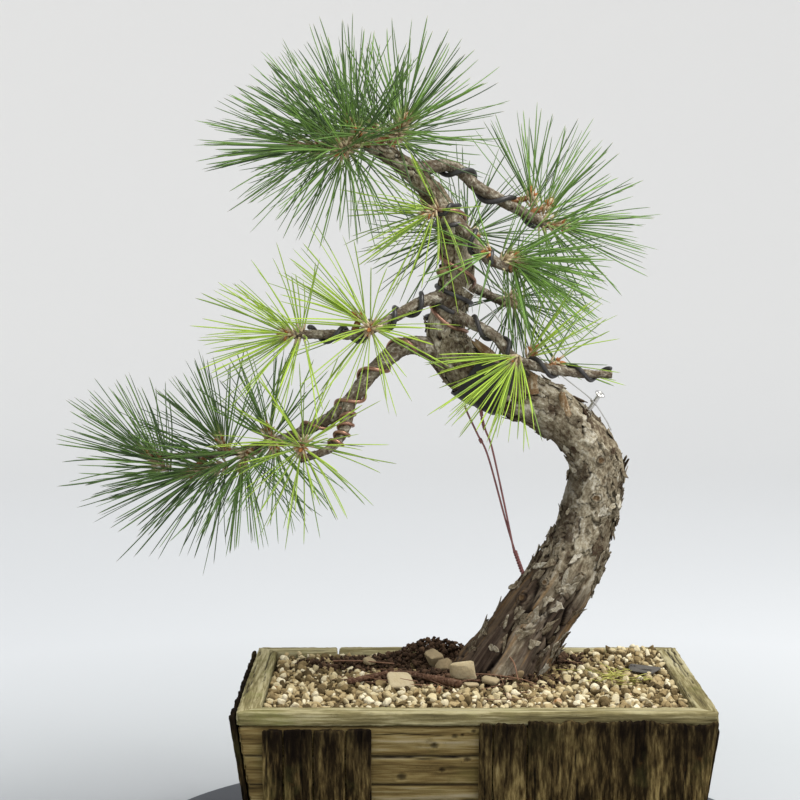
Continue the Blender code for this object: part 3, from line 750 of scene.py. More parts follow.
def slat_finish(name, worn):
    """Streaks run down the board, with a charred band at its top. A worn one shows more bare wood."""
    material, tree, shader = new_finish(name, 0.92, 0.03)
    place, height = stored(tree, "grain", "Vector"), stored(tree, "height")
    streaks = use_group(tree, WOOD_STREAKS, place=place, stretch=9.0, scale=330.0)
    wide = use_group(tree, WOOD_STREAKS, place=place, stretch=4.0, scale=90.0)
    tone = sums(tree, "MULTIPLY_ADD", streaks["Fine"], 0.50, sums(tree, "MULTIPLY", streaks["Broad"], 0.55))
    tone = sums(tree, "ADD", tone, 0.022 * worn)
    colour = ramp(
        tree, tone, (0.40, rgb(0.004, 0.003, 0.002)), (0.50, rgb(0.024, 0.016, 0.007)),
        (0.58, rgb(0.095, 0.066, 0.026)), (0.67, rgb(0.27, 0.20, 0.080)), (0.78, rgb(0.46, 0.38, 0.20)),
    )
    orange = use_group(tree, STAIN_PATCHES, place=place, scale=120.0, amount=0.22, edge=0.10)["Mask"]
    colour = blended(tree, sums(tree, "MULTIPLY", orange, 0.4), colour, rgb(0.11, 0.050, 0.014))
    moss = use_group(tree, STAIN_PATCHES, place=place, scale=26.0, amount=0.40, edge=0.20)["Mask"]
    colour = blended(tree, sums(tree, "MULTIPLY", moss, 0.55), colour, rgb(0.070, 0.068, 0.022))
    wander = sums(tree, "MULTIPLY_ADD", wide["Broad"], 0.9, sums(tree, "SUBTRACT", height, 0.45))
    char = ramp(tree, wander, (0.64, rgb(0, 0, 0)), (1.0, rgb(1, 1, 1)))
    colour = blended(tree, sums(tree, "MULTIPLY", char, 0.93 - 0.20 * worn), colour, rgb(0.006, 0.004, 0.003))
    colour = blended(tree, stored(tree, "crack"), colour, rgb(0.008, 0.006, 0.005))
    crumbs = use_group(tree, CRUMBLY, place=place, scale=600.0)["Height"]
    relief = sums(tree, "MULTIPLY_ADD", streaks["Fine"], 1.3, sums(tree, "MULTIPLY", crumbs, 0.4))
    give(tree, shader, colour, None, relief, 0.0008, 0.9)
    return material


SLAT_WOOD = slat_finish("charred_slats", 0.0)
WORN_SLAT_WOOD = slat_finish("worn_slats", 1.0)
print("board finishes: rim, wall, slats")

# %% [markdown]
# ## Stone, earth and metal
#
# Pumice gravel is cream, tan and now and then grey or rusty, full of tiny holes. The copper wire has
# gone dull brown-red, the aluminium wire is anodised nearly black, and the screw is bright zinc.

# %% gravel, earth and metal finishes
def stone_finish(name, *stops, pits=900.0):
    """Broken stone, coloured by each piece's own tint, with hollows darker than the rest."""
    material, tree, shader = new_finish(name, 0.95, 0.05)
    place = object_place(tree)
    crumbs = use_group(tree, CRUMBLY, place=place, scale=pits)
    mottle = noise_value(tree, place, 210.0, 5.0, 0.65)
    value = sums(tree, "MULTIPLY_ADD", stored(tree, "tint"), 0.78, sums(tree, "MULTIPLY", mottle, 0.30))
    colour = ramp(tree, value, *stops)
    hollow = sums(tree, "SUBTRACT", 1.0, crumbs["Pits"])
    hollow = ramp(tree, hollow, (0.80, rgb(0, 0, 0)), (1.0, rgb(1, 1, 1)))
    colour = blended(tree, sums(tree, "MULTIPLY", hollow, 0.45), colour, rgb(0.16, 0.11, 0.06))
    give(tree, shader, colour, None, crumbs["Height"], 0.0006, 0.8)
    return material


PUMICE = stone_finish(
    "pumice",
    (0.06, rgb(0.025, 0.018, 0.010)), (0.26, rgb(0.145, 0.105, 0.050)), (0.46, rgb(0.36, 0.27, 0.135)),
    (0.66, rgb(0.56, 0.475, 0.285)), (0.88, rgb(0.78, 0.71, 0.52)), (1.0, rgb(0.34, 0.17, 0.06)),
)
EARTH = stone_finish(
    "dark_earth", (0.1, rgb(0.020, 0.013, 0.009)), (0.6, rgb(0.075, 0.045, 0.028)), (0.9, rgb(0.16, 0.10, 0.06))
)
CHIP = stone_finish(
    "bark_chip", (0.15, rgb(0.17, 0.12, 0.065)), (0.6, rgb(0.41, 0.335, 0.205)), (0.9, rgb(0.56, 0.50, 0.36)),
    pits=400.0,
)
SLATE = stone_finish("grey_flake", (0.2, rgb(0.040, 0.038, 0.034)), (0.8, rgb(0.15, 0.14, 0.125)), pits=500.0)


def wire_finish(name, clean, dull, metallic, roughness, scale=160.0):
    """Drawn metal with patches where it has tarnished, and faint scratches."""
    material, tree, shader = new_finish(name, roughness, 0.5)
    shader.inputs["Metallic"].default_value = metallic
    place = object_place(tree)
    patch = use_group(tree, STAIN_PATCHES, place=place, scale=scale, amount=0.5, edge=0.3)["Mask"]
    colour = blended(tree, patch, clean, dull)
    rough = sums(tree, "MULTIPLY_ADD", patch, 0.25, roughness)
    scratches = noise_value(tree, place, 1500.0, 3.0)
    give(tree, shader, colour, rough, scratches, 0.0001, 0.35)
    return material


COPPER = wire_finish("copper_wire", rgb(0.36, 0.20, 0.14), rgb(0.10, 0.055, 0.042), 0.80, 0.32)
GUY_COPPER = wire_finish("guy_copper", rgb(0.235, 0.095, 0.090), rgb(0.115, 0.045, 0.050), 0.4, 0.45)
BLACK_WIRE = wire_finish("black_wire", rgb(0.045, 0.042, 0.042), rgb(0.018, 0.016, 0.015), 0.35, 0.36)
STEEL = wire_finish("steel", rgb(0.62, 0.61, 0.59), rgb(0.34, 0.32, 0.29), 1.0, 0.28)
RUBBER = wire_finish("rubber", rgb(0.014, 0.013, 0.014), rgb(0.026, 0.024, 0.024), 0.0, 0.62, 90.0)
print("stone and metal finishes ready")

# %% [markdown]
# ## Where the wood grows
#
# These are the measured middle lines of the trunk and branches: x, y, z and radius in millimetres,
# the same places that the measured model uses. Everything wound on or growing from the wood starts
# from them.

# %% trunk and branch lines
TRUNK_MM = (
    (13, 30, 106, 35), (51, 30, 171, 31.5), (78, 29, 212, 30), (97, 27, 255, 25), (106, 23, 303, 23),
    (96, 21, 332, 21), (62, 17, 360, 21.5), (14, 11, 382, 22), (-12, 8, 399, 20), (-23, 5, 428, 15.5),
    (-14, 3, 464, 13.5), (-15, 1, 498, 12), (-24, -2, 527, 10.5), (-54, -9, 561, 9), (-95, -16, 585, 5),
)
BRANCHES_MM = {
    "branch_lower_left": (
        (-30, 5, 410, 8), (-57, -6, 413, 7.2), (-84, -15, 392, 6.7), (-101, -18, 370, 6.3),
        (-118, -18, 355, 5.4), (-145, -13, 341, 4.6), (-181, -6, 329, 3.7), (-211, 2, 322, 3.2),
        (-262, 8, 319, 2.5),
    ),
    "branch_middle_left": (
        (-20, -2, 457, 4.9), (-44, -20, 450, 4.7), (-72, -35, 435, 4.5), (-96, -44, 425, 4.2),
        (-122, -50, 425, 3.9), (-148, -54, 425, 3.4),
    ),
    "branch_upper_right": (
        (-49, -9, 560, 5.6), (-18, 2, 563, 5.3), (3, 8, 547, 5), (30, 15, 532, 4.7), (62, 21, 515, 4.2),
    ),
    "branch_right": ((-20, 0, 524, 5.2), (-4, -15, 506, 5), (10, -23, 488, 4.8), (29, -29, 479, 4.3)),
    "branch_back_right": ((-11, 6, 466, 4.2), (5, 22, 460, 4), (28, 38, 448, 3.5)),
    "branch_lower_right": (
        (-18, -3, 441, 4.7), (-4, -21, 434, 4.5), (17, -28, 423, 4.3), (31, -30, 406, 4.2),
        (50, -28, 398, 4), (83, -23, 392, 3.6), (115, -17, 390, 3.2),
    ),
    "branch_back": ((-16, 4, 490, 4.4), (-13, 26, 494, 3.9), (-8, 50, 503, 3.2)),
}
FORK_MM = ((-104, -19, 367, 4.6), (-106, -31, 348, 4.1), (-118, -41, 331, 3.7), (-143, -48, 322, 3.1))

TRUNK_STEP_MM = 1.1
BRANCH_STEP_MM = 1.2
trunk_path = smooth_path(TRUNK_MM, TRUNK_STEP_MM)
trunk_frames = frames_along(trunk_path)
trunk_lengths = arc_lengths(trunk_path)
wood_paths = {"trunk": trunk_path}
wood_paths.update({name: smooth_path(points, BRANCH_STEP_MM) for name, points in BRANCHES_MM.items()})
wood_paths["fork"] = smooth_path(FORK_MM, BRANCH_STEP_MM)
print("trunk", round(trunk_lengths[-1] / MM), "mm along its middle")

# %% [markdown]
# ## The trunk's bark
#
# Old pine bark is a stack of flaky plates with deep cracks between them, and each plate is itself a
# pile of thin scales. A bump map could fake it, but the trunk's outline would stay smooth. So the
# trunk is a fine tube, and every point moves by the sum of four patterns: plates with cracks at
# their edges, a random tilt for each plate, thin scales, and crumbs. The patterns are worked out on
# the trunk as if it were straight, so they follow it round its bends. Near the foot the plates are
# drawn out along the grain, and round each old branch scar they give way to rings.

# %% bark relief
SOIL_LEVEL = 0.129
TRUNK_SIDES = 168
TRUNK_PLATE, TRUNK_DEPTH = 0.0170, 0.0024
# Branch scars on the front: x, z and size in millimetres
SCARS_MM = ((108, 317, 6.5), (105, 285, 7.5), (93, 218, 5.5), (62, 213, 6.0), (43, 198, 8.0))


def unbent_places(path, sides, stretch):
    """Each tube point's place if the path were straight, squeezed lengthwise by the stretch."""
    turn = turns_of(sides)
    steps = np.diff(arc_lengths(path), prepend=0.0)
    height = np.cumsum(steps * stretch)[:, None] * np.ones(sides)
    radius = path[:, 3:4]
    places = np.stack([radius * np.cos(turn), radius * np.sin(turn), height], axis=-1)
    return places.reshape(-1, 3)


def three_noises(places, cell, *seeds):
    """Smooth noise with a different seed for each direction."""
    return np.stack([smooth_noise(places, cell, seed) for seed in seeds], axis=1)


def bark_relief(places, plate, depth, seed):
    """(relief in metres, marks) of flaky bark at these unbent places. Plate is a plate's width."""
    warp = three_noises(places, plate * 0.8, seed + 11, seed + 12, seed + 13)
    fine_warp = three_noises(places, plate * 0.22, seed + 14, seed + 15, seed + 16)
    warped = places + warp * plate * 0.34 + fine_warp * plate * 0.17
    gap, plate_number, offset = cell_noise(warped, plate, seed)
    closing = smooth_noise(places, plate * 0.9, seed + 20)
    crack_width = plate * (0.055 + 0.03 * closing)
    top = ease(gap + plate * 0.07 * ease(closing, 0.0, 0.7), plate * 0.006, crack_width)
    lean_way = 2 * np.pi * 7 * plate_number
    lean = offset[:, 0] * np.cos(lean_way) + offset[:, 2] * np.sin(lean_way)
    scale_gap, scale_number, _ = cell_noise(warped + 0.37 * plate, plate * 0.40, seed + 40)
    scale_top = ease(scale_gap, 0.0, plate * 0.045)
    _, thin_number, _ = cell_noise(warped + 0.11 * plate, plate * 0.19, seed + 60)
    crumbs = smooth_noise(places, plate * 0.09, seed + 80)
    relief = depth * (top - 1.0)
    relief += top * (0.12 * lean + depth * 0.50 * (plate_number - 0.5))
    relief += depth * 0.42 * scale_top * (scale_number - 0.45)
    relief += depth * 0.22 * (thin_number - 0.5) + depth * 0.09 * crumbs
    scale_mark = 0.6 * scale_number + 0.4 * thin_number
    return relief, {"plate": plate_number, "scale": scale_mark, "rise": 0.75 * top + 0.25 * scale_top}


# %% the trunk's own shape
sides = TRUNK_SIDES
trunk_low = ease(trunk_path[:, 2], 0.200, 0.260)
trunk_stretch = 0.26 + 0.50 * trunk_low
trunk_places = unbent_places(trunk_path, sides, trunk_stretch)
trunk_radius = np.repeat(trunk_path[:, 3], sides)
thickness_share = (trunk_radius / 0.030) ** 0.75
relief, trunk_marks = bark_relief(trunk_places, TRUNK_PLATE, TRUNK_DEPTH, 100)
relief = relief * thickness_share

# Long open cracks that run up from the foot: place round the trunk, reach in metres, depth in mm
FOOT_CRACKS = ((0.9, 0.125, 5.0), (2.3, 0.105, 4.0), (3.5, 0.14, 4.5), (4.6, 0.13, 5.5), (5.6, 0.10, 3.5))
FOOT_CRACK_WIDTH = 0.0024
turn_at = np.tile(turns_of(sides), len(trunk_path))
along_at = np.repeat(trunk_lengths, sides)
up_only = np.stack([along_at, along_at * 0, along_at * 0], axis=1)
foot_cracks = np.zeros(len(relief))
for index, (turn, reach, deep) in enumerate(FOOT_CRACKS):
    wander = turn + 0.16 * smooth_noise(up_only, 0.022, 300 + index)
    gap = np.abs((turn_at - wander + np.pi) % (2 * np.pi) - np.pi) * trunk_radius
    crack = deep * MM * np.exp(-((gap / FOOT_CRACK_WIDTH) ** 2)) * ease(reach - along_at, 0.0, 0.04)
    foot_cracks = np.maximum(foot_cracks, crack)
relief -= foot_cracks * 0.75

lumps = 0.055 * smooth_noise(trunk_places, 0.045, 7) + 0.03 * smooth_noise(trunk_places, 0.018, 8)
buttress = 0.5 + 0.5 * np.cos(5 * turn_at + 1.1 + 4.0 * smooth_noise(trunk_places, 0.05, 9))
flare = np.exp(-(((along_at - 0.018) / 0.030) ** 2)) * (along_at > 0.018) + (along_at <= 0.018)
body = trunk_radius * (1.0 + lumps) + flare * (0.0015 + 0.0055 * buttress)

# %% branch scars
plain_points, trunk_outward = tube_points(trunk_path, trunk_frames, body.reshape(-1, sides))
plain_points = plain_points.reshape(-1, 3)
trunk_outward = trunk_outward.reshape(-1, 3)
scar_share, scar_relief, scar_wood, scar_trough_shade = np.zeros((4, len(relief)))
for x, z, size in SCARS_MM:
    behind = trunk_outward[:, 1] > -0.2
    gap = np.hypot(plain_points[:, 0] - x * MM, plain_points[:, 2] - z * MM) + behind
    centre = plain_points[gap.argmin()]
    distance = np.linalg.norm(plain_points - centre, axis=1) / (size * MM)
    distance = distance + 0.10 * smooth_noise(plain_points, 0.003, 60)
    near = np.exp(-((distance / 1.05) ** 4))
    ripple = np.cos(distance * 2 * np.pi / 0.36) * np.exp(-((distance / 1.0) ** 2))
    rings = 0.0018 * np.exp(-(distance**2)) + 0.0011 * ripple
    scar_share = np.maximum(scar_share, near)
    scar_trough_shade = np.maximum(scar_trough_shade, near * ease(-ripple, 0.05, 0.35))
    scar_relief += near * rings - 0.0014 * np.exp(-((distance / 0.24) ** 4))
    scar_wood = np.maximum(scar_wood, np.exp(-((distance / 0.30) ** 4)))
relief = relief * (1 - 0.75 * scar_share) + scar_relief
reach = body + relief - 0.0003
print("bark relief from", round(relief.min() / MM, 1), "to", round(relief.max() / MM, 1), "mm")

# %% trunk piece
trunk_points, _ = tube_points(trunk_path, trunk_frames, reach.reshape(-1, sides))
trunk_surface = trunk_points.copy()
trunk_ends = np.array([trunk_path[0, :3], trunk_path[-1, :3] + 0.002 * trunk_frames[0][-1]])
quads, triangles = tube_faces(len(trunk_path), sides)
trunk_mesh = mesh_of("pine_trunk", np.vstack([trunk_points.reshape(-1, 3), trunk_ends]), quads, triangles)


def with_ends(values):
    """Adds two more rows, for the two points that close a tube."""
    return np.concatenate([values, values[:1], values[-1:]])


# Painted shade, kept as the shade mark: the underside of each bend and the inner side of the foot are darkened
# in the bark's colour
underside_shade = ease(-trunk_outward[:, 2], 0.15, 0.95) * 0.75
inner_foot_shade = ease(-trunk_outward[:, 0], 0.15, 0.85) * ease(0.260 - along_at, 0.0, 0.05) * 0.75
foot_patch = smooth_noise(trunk_places, (0.012, 0.012, 0.020), 71)
trunk_marks["foot"] = np.clip(ease(0.150 - along_at, 0.0, 0.05) * (0.75 + 0.6 * foot_patch), 0, 1)
# Painted shade: rise is lowered in the open foot cracks and in the troughs of the rings round each scar, so
# they take the dark crack colour
shut = 1 - 0.9 * ease(foot_cracks, 0.0008, 0.0030)
trunk_marks["rise"] = trunk_marks["rise"] * shut * (1 - scar_share) + scar_share * 0.9
trunk_marks["rise"] = trunk_marks["rise"] * (1 - 0.75 * scar_trough_shade)
trunk_marks["knot"] = scar_wood
trunk_marks["shade"] = np.clip(underside_shade + inner_foot_shade, 0, 1)
trunk_marks["bark_place"] = trunk_places
mark(trunk_mesh, **{name: with_ends(values) for name, values in trunk_marks.items()})
add_piece("pine_trunk", trunk_mesh, TRUNK_BARK, "trunk_bark", "trunk")

# %% [markdown]
# ## Branches
#
# Young pine bark is rough with the scars of old needles, finer than the trunk's plates. The same
# relief is used with cells a third of the size. Each branch swells where it leaves the wood it
# grows from, and the lower left one forks, so the fork is a tube of its own that starts inside it.

# %% branch pieces
def wood_tube(path, sides, plate, depth, seed, collar=0.45):
    """(points, quads, triangles, marks) of a branch with bark, swollen where it starts."""
    places = unbent_places(path, sides, 0.75)
    along = np.repeat(arc_lengths(path), sides)
    radius = np.repeat(path[:, 3], sides)
    relief, marks = bark_relief(places + seed * 0.01, plate, depth, seed)
    swelling = collar * np.exp(-along / 0.010) + 0.10 * smooth_noise(places, 0.016, seed + 3)
    reach = (radius * (1 + swelling) + relief).reshape(-1, sides)
    ends = np.array([path[0, :3], path[-1, :3]])
    points, outward = tube_points(path, frames_along(path), reach)
    quads, triangles = tube_faces(len(path), sides)
    marks["knot"] = np.zeros(len(along))
    # Painted shade: the underside of the tube is darkened, kept as the shade mark
    marks["shade"] = ease(-outward.reshape(-1, 3)[:, 2], 0.1, 0.95) * 0.5
    marks["bark_place"] = places
    marks = {name: with_ends(values) for name, values in marks.items()}
    return np.vstack([points.reshape(-1, 3), ends]), quads, triangles, marks


BRANCH_SIDES = 26
for index, (name, path) in enumerate(wood_paths.items()):
    if name == "trunk":
        continue
    points, quads, triangles, marks = wood_tube(path, BRANCH_SIDES, 0.0042, 0.00075, 400 + 7 * index)
    branch_mesh = mesh_of("pine_" + name, points, quads, triangles)
    mark(branch_mesh, **marks)
    stands_for = "branch_lower_left" if name == "fork" else name
    add_piece("pine_" + name, branch_mesh, BRANCH_BARK, "branch_bark", stands_for)

# %% [markdown]
# ## Loose flakes
#
# What makes old bark look old is its ragged outline: thin flakes that have let go at one end and
# stand off the trunk. Each flake here is a small sheet with an uneven rim, curved like the trunk,
# lifted at one end and thick enough to show its layers. They gather on the outside of the bend,
# under the inner bend and along the foot.

# %% flakes
FLAKE_RINGS = 4
FLAKE_SIDES = 14


def flake(centre, along, out, length, width, lift, thick, bend_radius, random):
    """(points, faces, marks) of one loose flake of bark lying at this place."""
    round_it = np.cross(out, along)
    turn = turns_of(FLAKE_SIDES)
    ragged = 1 + 0.34 * random.uniform(-1, 1, FLAKE_SIDES) + 0.26 * np.sin(2 * turn + random.uniform(0, 6))
    ragged *= 1 + 0.22 * np.sign(np.sin(3 * turn + random.uniform(0, 6)))
    share = np.arange(1, FLAKE_RINGS + 1)[:, None] / FLAKE_RINGS
    u = np.concatenate([[0.0], (share * ragged * np.cos(turn)).ravel()])
    v = np.concatenate([[0.0], (share * ragged * np.sin(turn)).ravel()])
    step = 0.0005 * np.floor(3 * scatter(np.stack([u * 2.2 + 9, v * 2.6 + 9, u * 0], -1).astype(int), 3))
    height = lift * ((u + 1) / 2) ** 1.7 - (v * width) ** 2 / (2 * bend_radius) + step * 0.6
    height += 0.0003 * random.uniform(-1, 1, len(u))
    top = centre + np.outer(u * length, along) + np.outer(v * width, round_it) + np.outer(height, out)
    under = top - thick * out - np.outer(0.12 * u * length, along) * 0.4
    count = len(u)
    steps = [(i, (i + 1) % FLAKE_SIDES) for i in range(FLAKE_SIDES)]

    def strip(ring, onward):
        """Faces from this ring to the points that come so many places later."""
        pairs = [(1 + ring * FLAKE_SIDES + a, 1 + ring * FLAKE_SIDES + b) for a, b in steps]
        return [face for a, b in pairs for face in ((a, a + onward, b + onward), (a, b + onward, b))]

    upper = [(0, 1 + a, 1 + b) for a, b in steps]
    for ring in range(FLAKE_RINGS - 1):
        upper += strip(ring, FLAKE_SIDES)
    upper, edge = np.array(upper), np.array(strip(FLAKE_RINGS - 1, count))
    rim = np.concatenate([[0.0], (share * np.ones(FLAKE_SIDES)).ravel()])
    rise = np.concatenate([0.75 + 0.25 * (1 - rim**6), np.full(count, 0.30)])
    points = np.vstack([top, under])
    numbers = random.uniform(0, 1, 2)
    marks = {
        "plate": np.full(len(points), numbers[0]), "scale": np.full(len(points), numbers[1]), "rise": rise,
        "knot": np.zeros(len(points)), "shade": np.full(len(points), float(random.uniform(0, 0.45))),
        "bark_place": points,
    }
    return points, np.vstack([upper, upper[:, ::-1] + count, edge]), marks


random = np.random.default_rng(21)
flakes = []
FLAKE_COUNT = 430
while len(flakes) < FLAKE_COUNT:
    ring = random.integers(20, len(trunk_path) - 130)
    corner = random.integers(0, sides)
    out = trunk_outward.reshape(-1, sides, 3)[ring, corner]
    low_down = trunk_path[ring, 2] < 0.25
    eager = 0.10 + 0.9 * max(out[0], 0.0) ** 2 + (0.22 if low_down else 0.0) + 0.5 * max(-out[0], 0.0) ** 3
    if random.uniform() > eager or trunk_surface[ring, corner][2] < SOIL_LEVEL + 0.004:
        continue
    if scar_share.reshape(-1, sides)[ring, corner] > 0.25:
        continue
    ahead = trunk_frames[0][ring]
    swing = random.normal(0, 0.35) + (np.pi if random.uniform() < 0.4 else 0.0)
    along = np.cos(swing) * ahead + np.sin(swing) * np.cross(out, ahead)
    radius = trunk_path[ring, 3]
    length = random.uniform(2.6, 7.5) * MM * (1.35 if low_down else 1.0)
    width = random.uniform(2.0, 5.0) * MM
    lift = random.uniform(0.2, 1.9) * MM * (1.9 if random.uniform() < 0.2 else 1.0)
    centre = trunk_surface[ring, corner] + out * 0.0003
    thick = random.uniform(0.5, 0.9) * MM
    flakes.append(flake(centre, unit(along), out, length, width, lift, thick, radius, random))
piece_from("bark_flakes", flakes, TRUNK_BARK, "trunk_bark", "trunk")

# %% [markdown]
# ## Stubs of lost branches
#
# Four dead stubs stand on the trunk where branches were lost: one upright at the top of the bend,
# two short ones by the lower branches and one higher up. Each is a tube whose end ring is torn into
# splinters by noise. The wood inside is paler than the bark.

# %% stubs
def torn_stub(points_mm, splinters, seed, sides=20):
    """(points, faces, marks) of a stub with a splintered end."""
    path = smooth_path(points_mm, 0.8)
    places = unbent_places(path, sides, 0.3)
    reach = path[:, 3:4] * (1 + 0.16 * smooth_noise(places, 0.0022, seed).reshape(-1, sides))
    points, _ = tube_points(path, frames_along(path), reach)
    ahead = unit(path[-1, :3] - path[-3, :3])
    lattice = np.stack([np.arange(sides) // 2, np.full(sides, seed), np.zeros(sides)], -1)
    tear = splinters * MM * scatter(lattice, seed)
    share = ease(arc_lengths(path) / arc_lengths(path)[-1], 0.6, 1.0)
    points = points + share[:, None, None] * tear[None, :, None] * ahead
    ends = np.array([path[0, :3], path[-1, :3] - 0.0012 * ahead])
    faces = all_triangles(*tube_faces(len(path), sides))
    all_points = np.vstack([points.reshape(-1, 3), ends])
    count = len(all_points)
    numbers = np.concatenate([scatter((places * 900).astype(int), seed), [0.5, 0.5]])
    marks = {
        "plate": numbers, "scale": numbers[::-1].copy(), "rise": np.full(count, 0.85),
        "knot": with_ends(np.repeat(share, sides)) * 0.9, "shade": np.zeros(count),
        "bark_place": all_points,
    }
    return all_points, faces, marks


stubs = [
    torn_stub(((84, 10, 345, 6.5), (80, 3, 354, 4.6), (77, 0, 364, 3.4), (75, -2, 372, 2.6)), 3.0, 5),
    torn_stub(((18, 0, 400, 5.0), (12, -9, 408, 4.2), (6, -13, 413, 3.4), (2, -15, 417, 2.8)), 3.5, 6),
    torn_stub(((50, -2, 374, 6.0), (50, -4, 383, 4.4), (51, -5, 389, 3.6)), 1.2, 7),
    torn_stub(((-20, -4, 478, 4.0), (-26, -14, 476, 3.2), (-29, -17, 475, 2.8)), 1.0, 9),
]
STUB_WOOD = bark_finish(
    "stub_wood", rgb(0.42, 0.32, 0.20), rgb(0.24, 0.155, 0.085), rgb(0.22, 0.12, 0.06),
    rgb(0.06, 0.03, 0.018), 420.0,
)
piece_from("branch_stubs", stubs, STUB_WOOD, "trunk_bark")

# %% [markdown]
# ## Shoots
#
# Needles grow only on the last shoots. Each row says where a shoot leaves the wood, where its bud
# is, which way it faces, how many pairs of needles it has, how long they are, how long its leafy
# part is, how bright its green is, and how wide it opens. Strong shoots sweep forward in one bunch,
# and short ones stand open like a star. The tuft name is the measured solid that it fills.

# %% the shoots
# tuft, start, bud, facing, pairs, needle length, leafy length, brightness, (widest, narrowest) angle
# from the facing in degrees. Lengths are in millimetres.
SHOOTS = (
    ("crown_top", (-84, -14, 578), (-55, -22, 603), (0.42, -0.34, 0.80), 46, 90, 22, 0.46, (112, 12)),
    ("crown_front", (-90, -15, 583), (-111, -45, 572), (-0.50, -0.74, -0.36), 55, 84, 20, 0.46, (104, 20)),
    ("crown_front", (-84, -12, 578), (-96, -36, 590), (-0.35, -0.60, 0.62), 22, 80, 14, 0.30, (90, 15)),
    ("crown_left", (-95, -16, 585), (-149, -25, 579), (-0.97, -0.18, 0.02), 52, 86, 34, 0.38, (66, 6)),
    ("crown_upper_left", (-93, -14, 584), (-124, -4, 592), (-0.80, 0.06, 0.58), 33, 92, 22, 0.50, (58, 6)),
    ("crown_upper_left", (-88, -12, 582), (-104, 2, 602), (-0.34, 0.06, 0.94), 25, 94, 18, 0.42, (52, 6)),
    # The crown_back, back and back_right tufts stand behind the tree, and their low brightness is painted shade
    ("crown_back", (-88, -12, 582), (-84, 26, 600), (-0.30, 0.62, 0.70), 34, 82, 20, 0.16, (95, 14)),
    ("crown_back", (-70, -10, 571), (-62, 22, 590), (0.55, 0.62, 0.50), 25, 82, 18, 0.18, (90, 14)),
    ("inner_left", (-24, -6, 522), (-40, -18, 523), (-0.84, -0.42, -0.34), 27, 78, 14, 0.60, (82, 8)),
    ("back", (-8, 50, 503), (-22, 62, 506), (-0.66, 0.66, -0.25), 33, 84, 20, 0.10, (95, 14)),
    ("back", (-8, 50, 503), (4, 66, 508), (0.50, 0.80, 0.10), 28, 82, 18, 0.12, (95, 14)),
    ("right_top", (28, 14, 533), (50, 20, 542), (-0.02, 0.05, 0.99), 13, 82, 14, 0.56, (46, 4)),
    ("right_top", (46, 18, 523), (66, 24, 534), (0.46, 0.15, 0.86), 14, 82, 16, 0.56, (48, 4)),
    ("right_side", (62, 21, 515), (78, 18, 513), (0.95, -0.12, -0.14), 34, 84, 22, 0.52, (70, 6)),
    ("right_front", (29, -29, 479), (36, -32, 486), (0.86, -0.30, 0.10), 27, 84, 16, 0.60, (60, 5)),
    ("right_low", (29, -28, 478), (42, -24, 480), (0.80, -0.16, -0.58), 34, 86, 20, 0.68, (56, 5)),
    ("right_front", (8, -22, 489), (10, -30, 492), (-0.80, -0.56, 0.02), 8, 62, 6, 0.85, (60, 14)),
    ("back_right", (28, 38, 448), (38, 42, 447), (0.30, 0.70, -0.35), 36, 80, 18, 0.18, (104, 18)),
    ("lower_right", (50, -26, 398), (50, -22, 411), (0.62, 0.05, 0.74), 12, 76, 10, 0.72, (52, 8)),
    ("lower_right", (62, -26, 396), (72, -18, 400), (0.88, 0.20, -0.05), 5, 56, 8, 0.45, (50, 10)),
    ("lower_right_front", (31, -30, 405), (30, -40, 400), (-0.66, -0.34, -0.66), 26, 76, 10, 0.86, (54, 5)),
    ("middle_left", (-148, -54, 425), (-156, -57, 425), (-0.90, -0.34, 0.02), 40, 80, 18, 0.76, (98, 8)),
    ("middle_left_front", (-86, -42, 429), (-86, -53, 429), (-0.20, -0.94, -0.26), 24, 78, 8, 0.84, (98, 25)),
    ("middle_left_front", (-98, -44, 427), (-96, -47, 440), (-0.78, -0.20, 0.60), 10, 84, 8, 0.80, (44, 4)),
    ("fork", (-140, -47, 323), (-142, -54, 331), (-0.12, -0.90, -0.22), 31, 80, 14, 0.74, (104, 22)),
    ("lower_left_under", (-186, -6, 327), (-194, -14, 312), (-0.26, -0.40, -0.88), 33, 82, 16, 0.48, (70, 8)),
    ("lower_left_under", (-160, -9, 335), (-166, -20, 326), (0.02, -0.60, -0.80), 22, 80, 14, 0.55, (80, 10)),
    ("lower_left_tip", (-224, 4, 321), (-240, 4, 305), (-0.95, -0.12, -0.22), 55, 90, 34, 0.22, (60, 4)),
    ("lower_left_end", (-262, 8, 319), (-277, 9, 322), (-0.80, 0.02, 0.58), 38, 84, 26, 0.34, (56, 4)),
    ("lower_left_top", (-204, 0, 323), (-214, 4, 336), (-0.44, 0.06, 0.90), 34, 80, 18, 0.36, (62, 6)),
    ("lower_left_top", (-168, -8, 334), (-172, -6, 345), (-0.20, 0.05, 0.98), 22, 74, 12, 0.40, (58, 6)),
)
GREEN_TUFTS = (
    "crown_top", "crown_front", "crown_left", "crown_upper_left", "crown_back", "back", "right_top",
    "right_side", "right_front", "right_low", "back_right", "lower_left_under", "lower_left_tip",
    "lower_left_end", "lower_left_top",
)
print(len(SHOOTS), "shoots,", sum(shoot[4] for shoot in SHOOTS) * 2, "needles")

# %% [markdown]
# ## Needles
#
# A black pine's needles come two to a sheath, set round the shoot in a spiral. The lowest stand
# nearly square to it and the last ones point forward, which gives the round tuft. Each needle is a
# long thin tube, flat on one side, that bends a little and ends in a sharp tip. Hair curves would
# render fast, but the exported model needs real faces, so they are built as meshes, all of a tuft's
# needles at once. Each needle also gets its own strip of a texture map.

# %% needle mesh
NEEDLE_STOPS = np.array([0.0, 0.10, 0.24, 0.40, 0.56, 0.72, 0.86, 0.95])
NEEDLE_SECTION = np.array([(1.0, 0.0), (0.0, 0.85), (-1.0, 0.0), (0.0, -0.42)])
GOLDEN_TURN = math.radians(137.508)


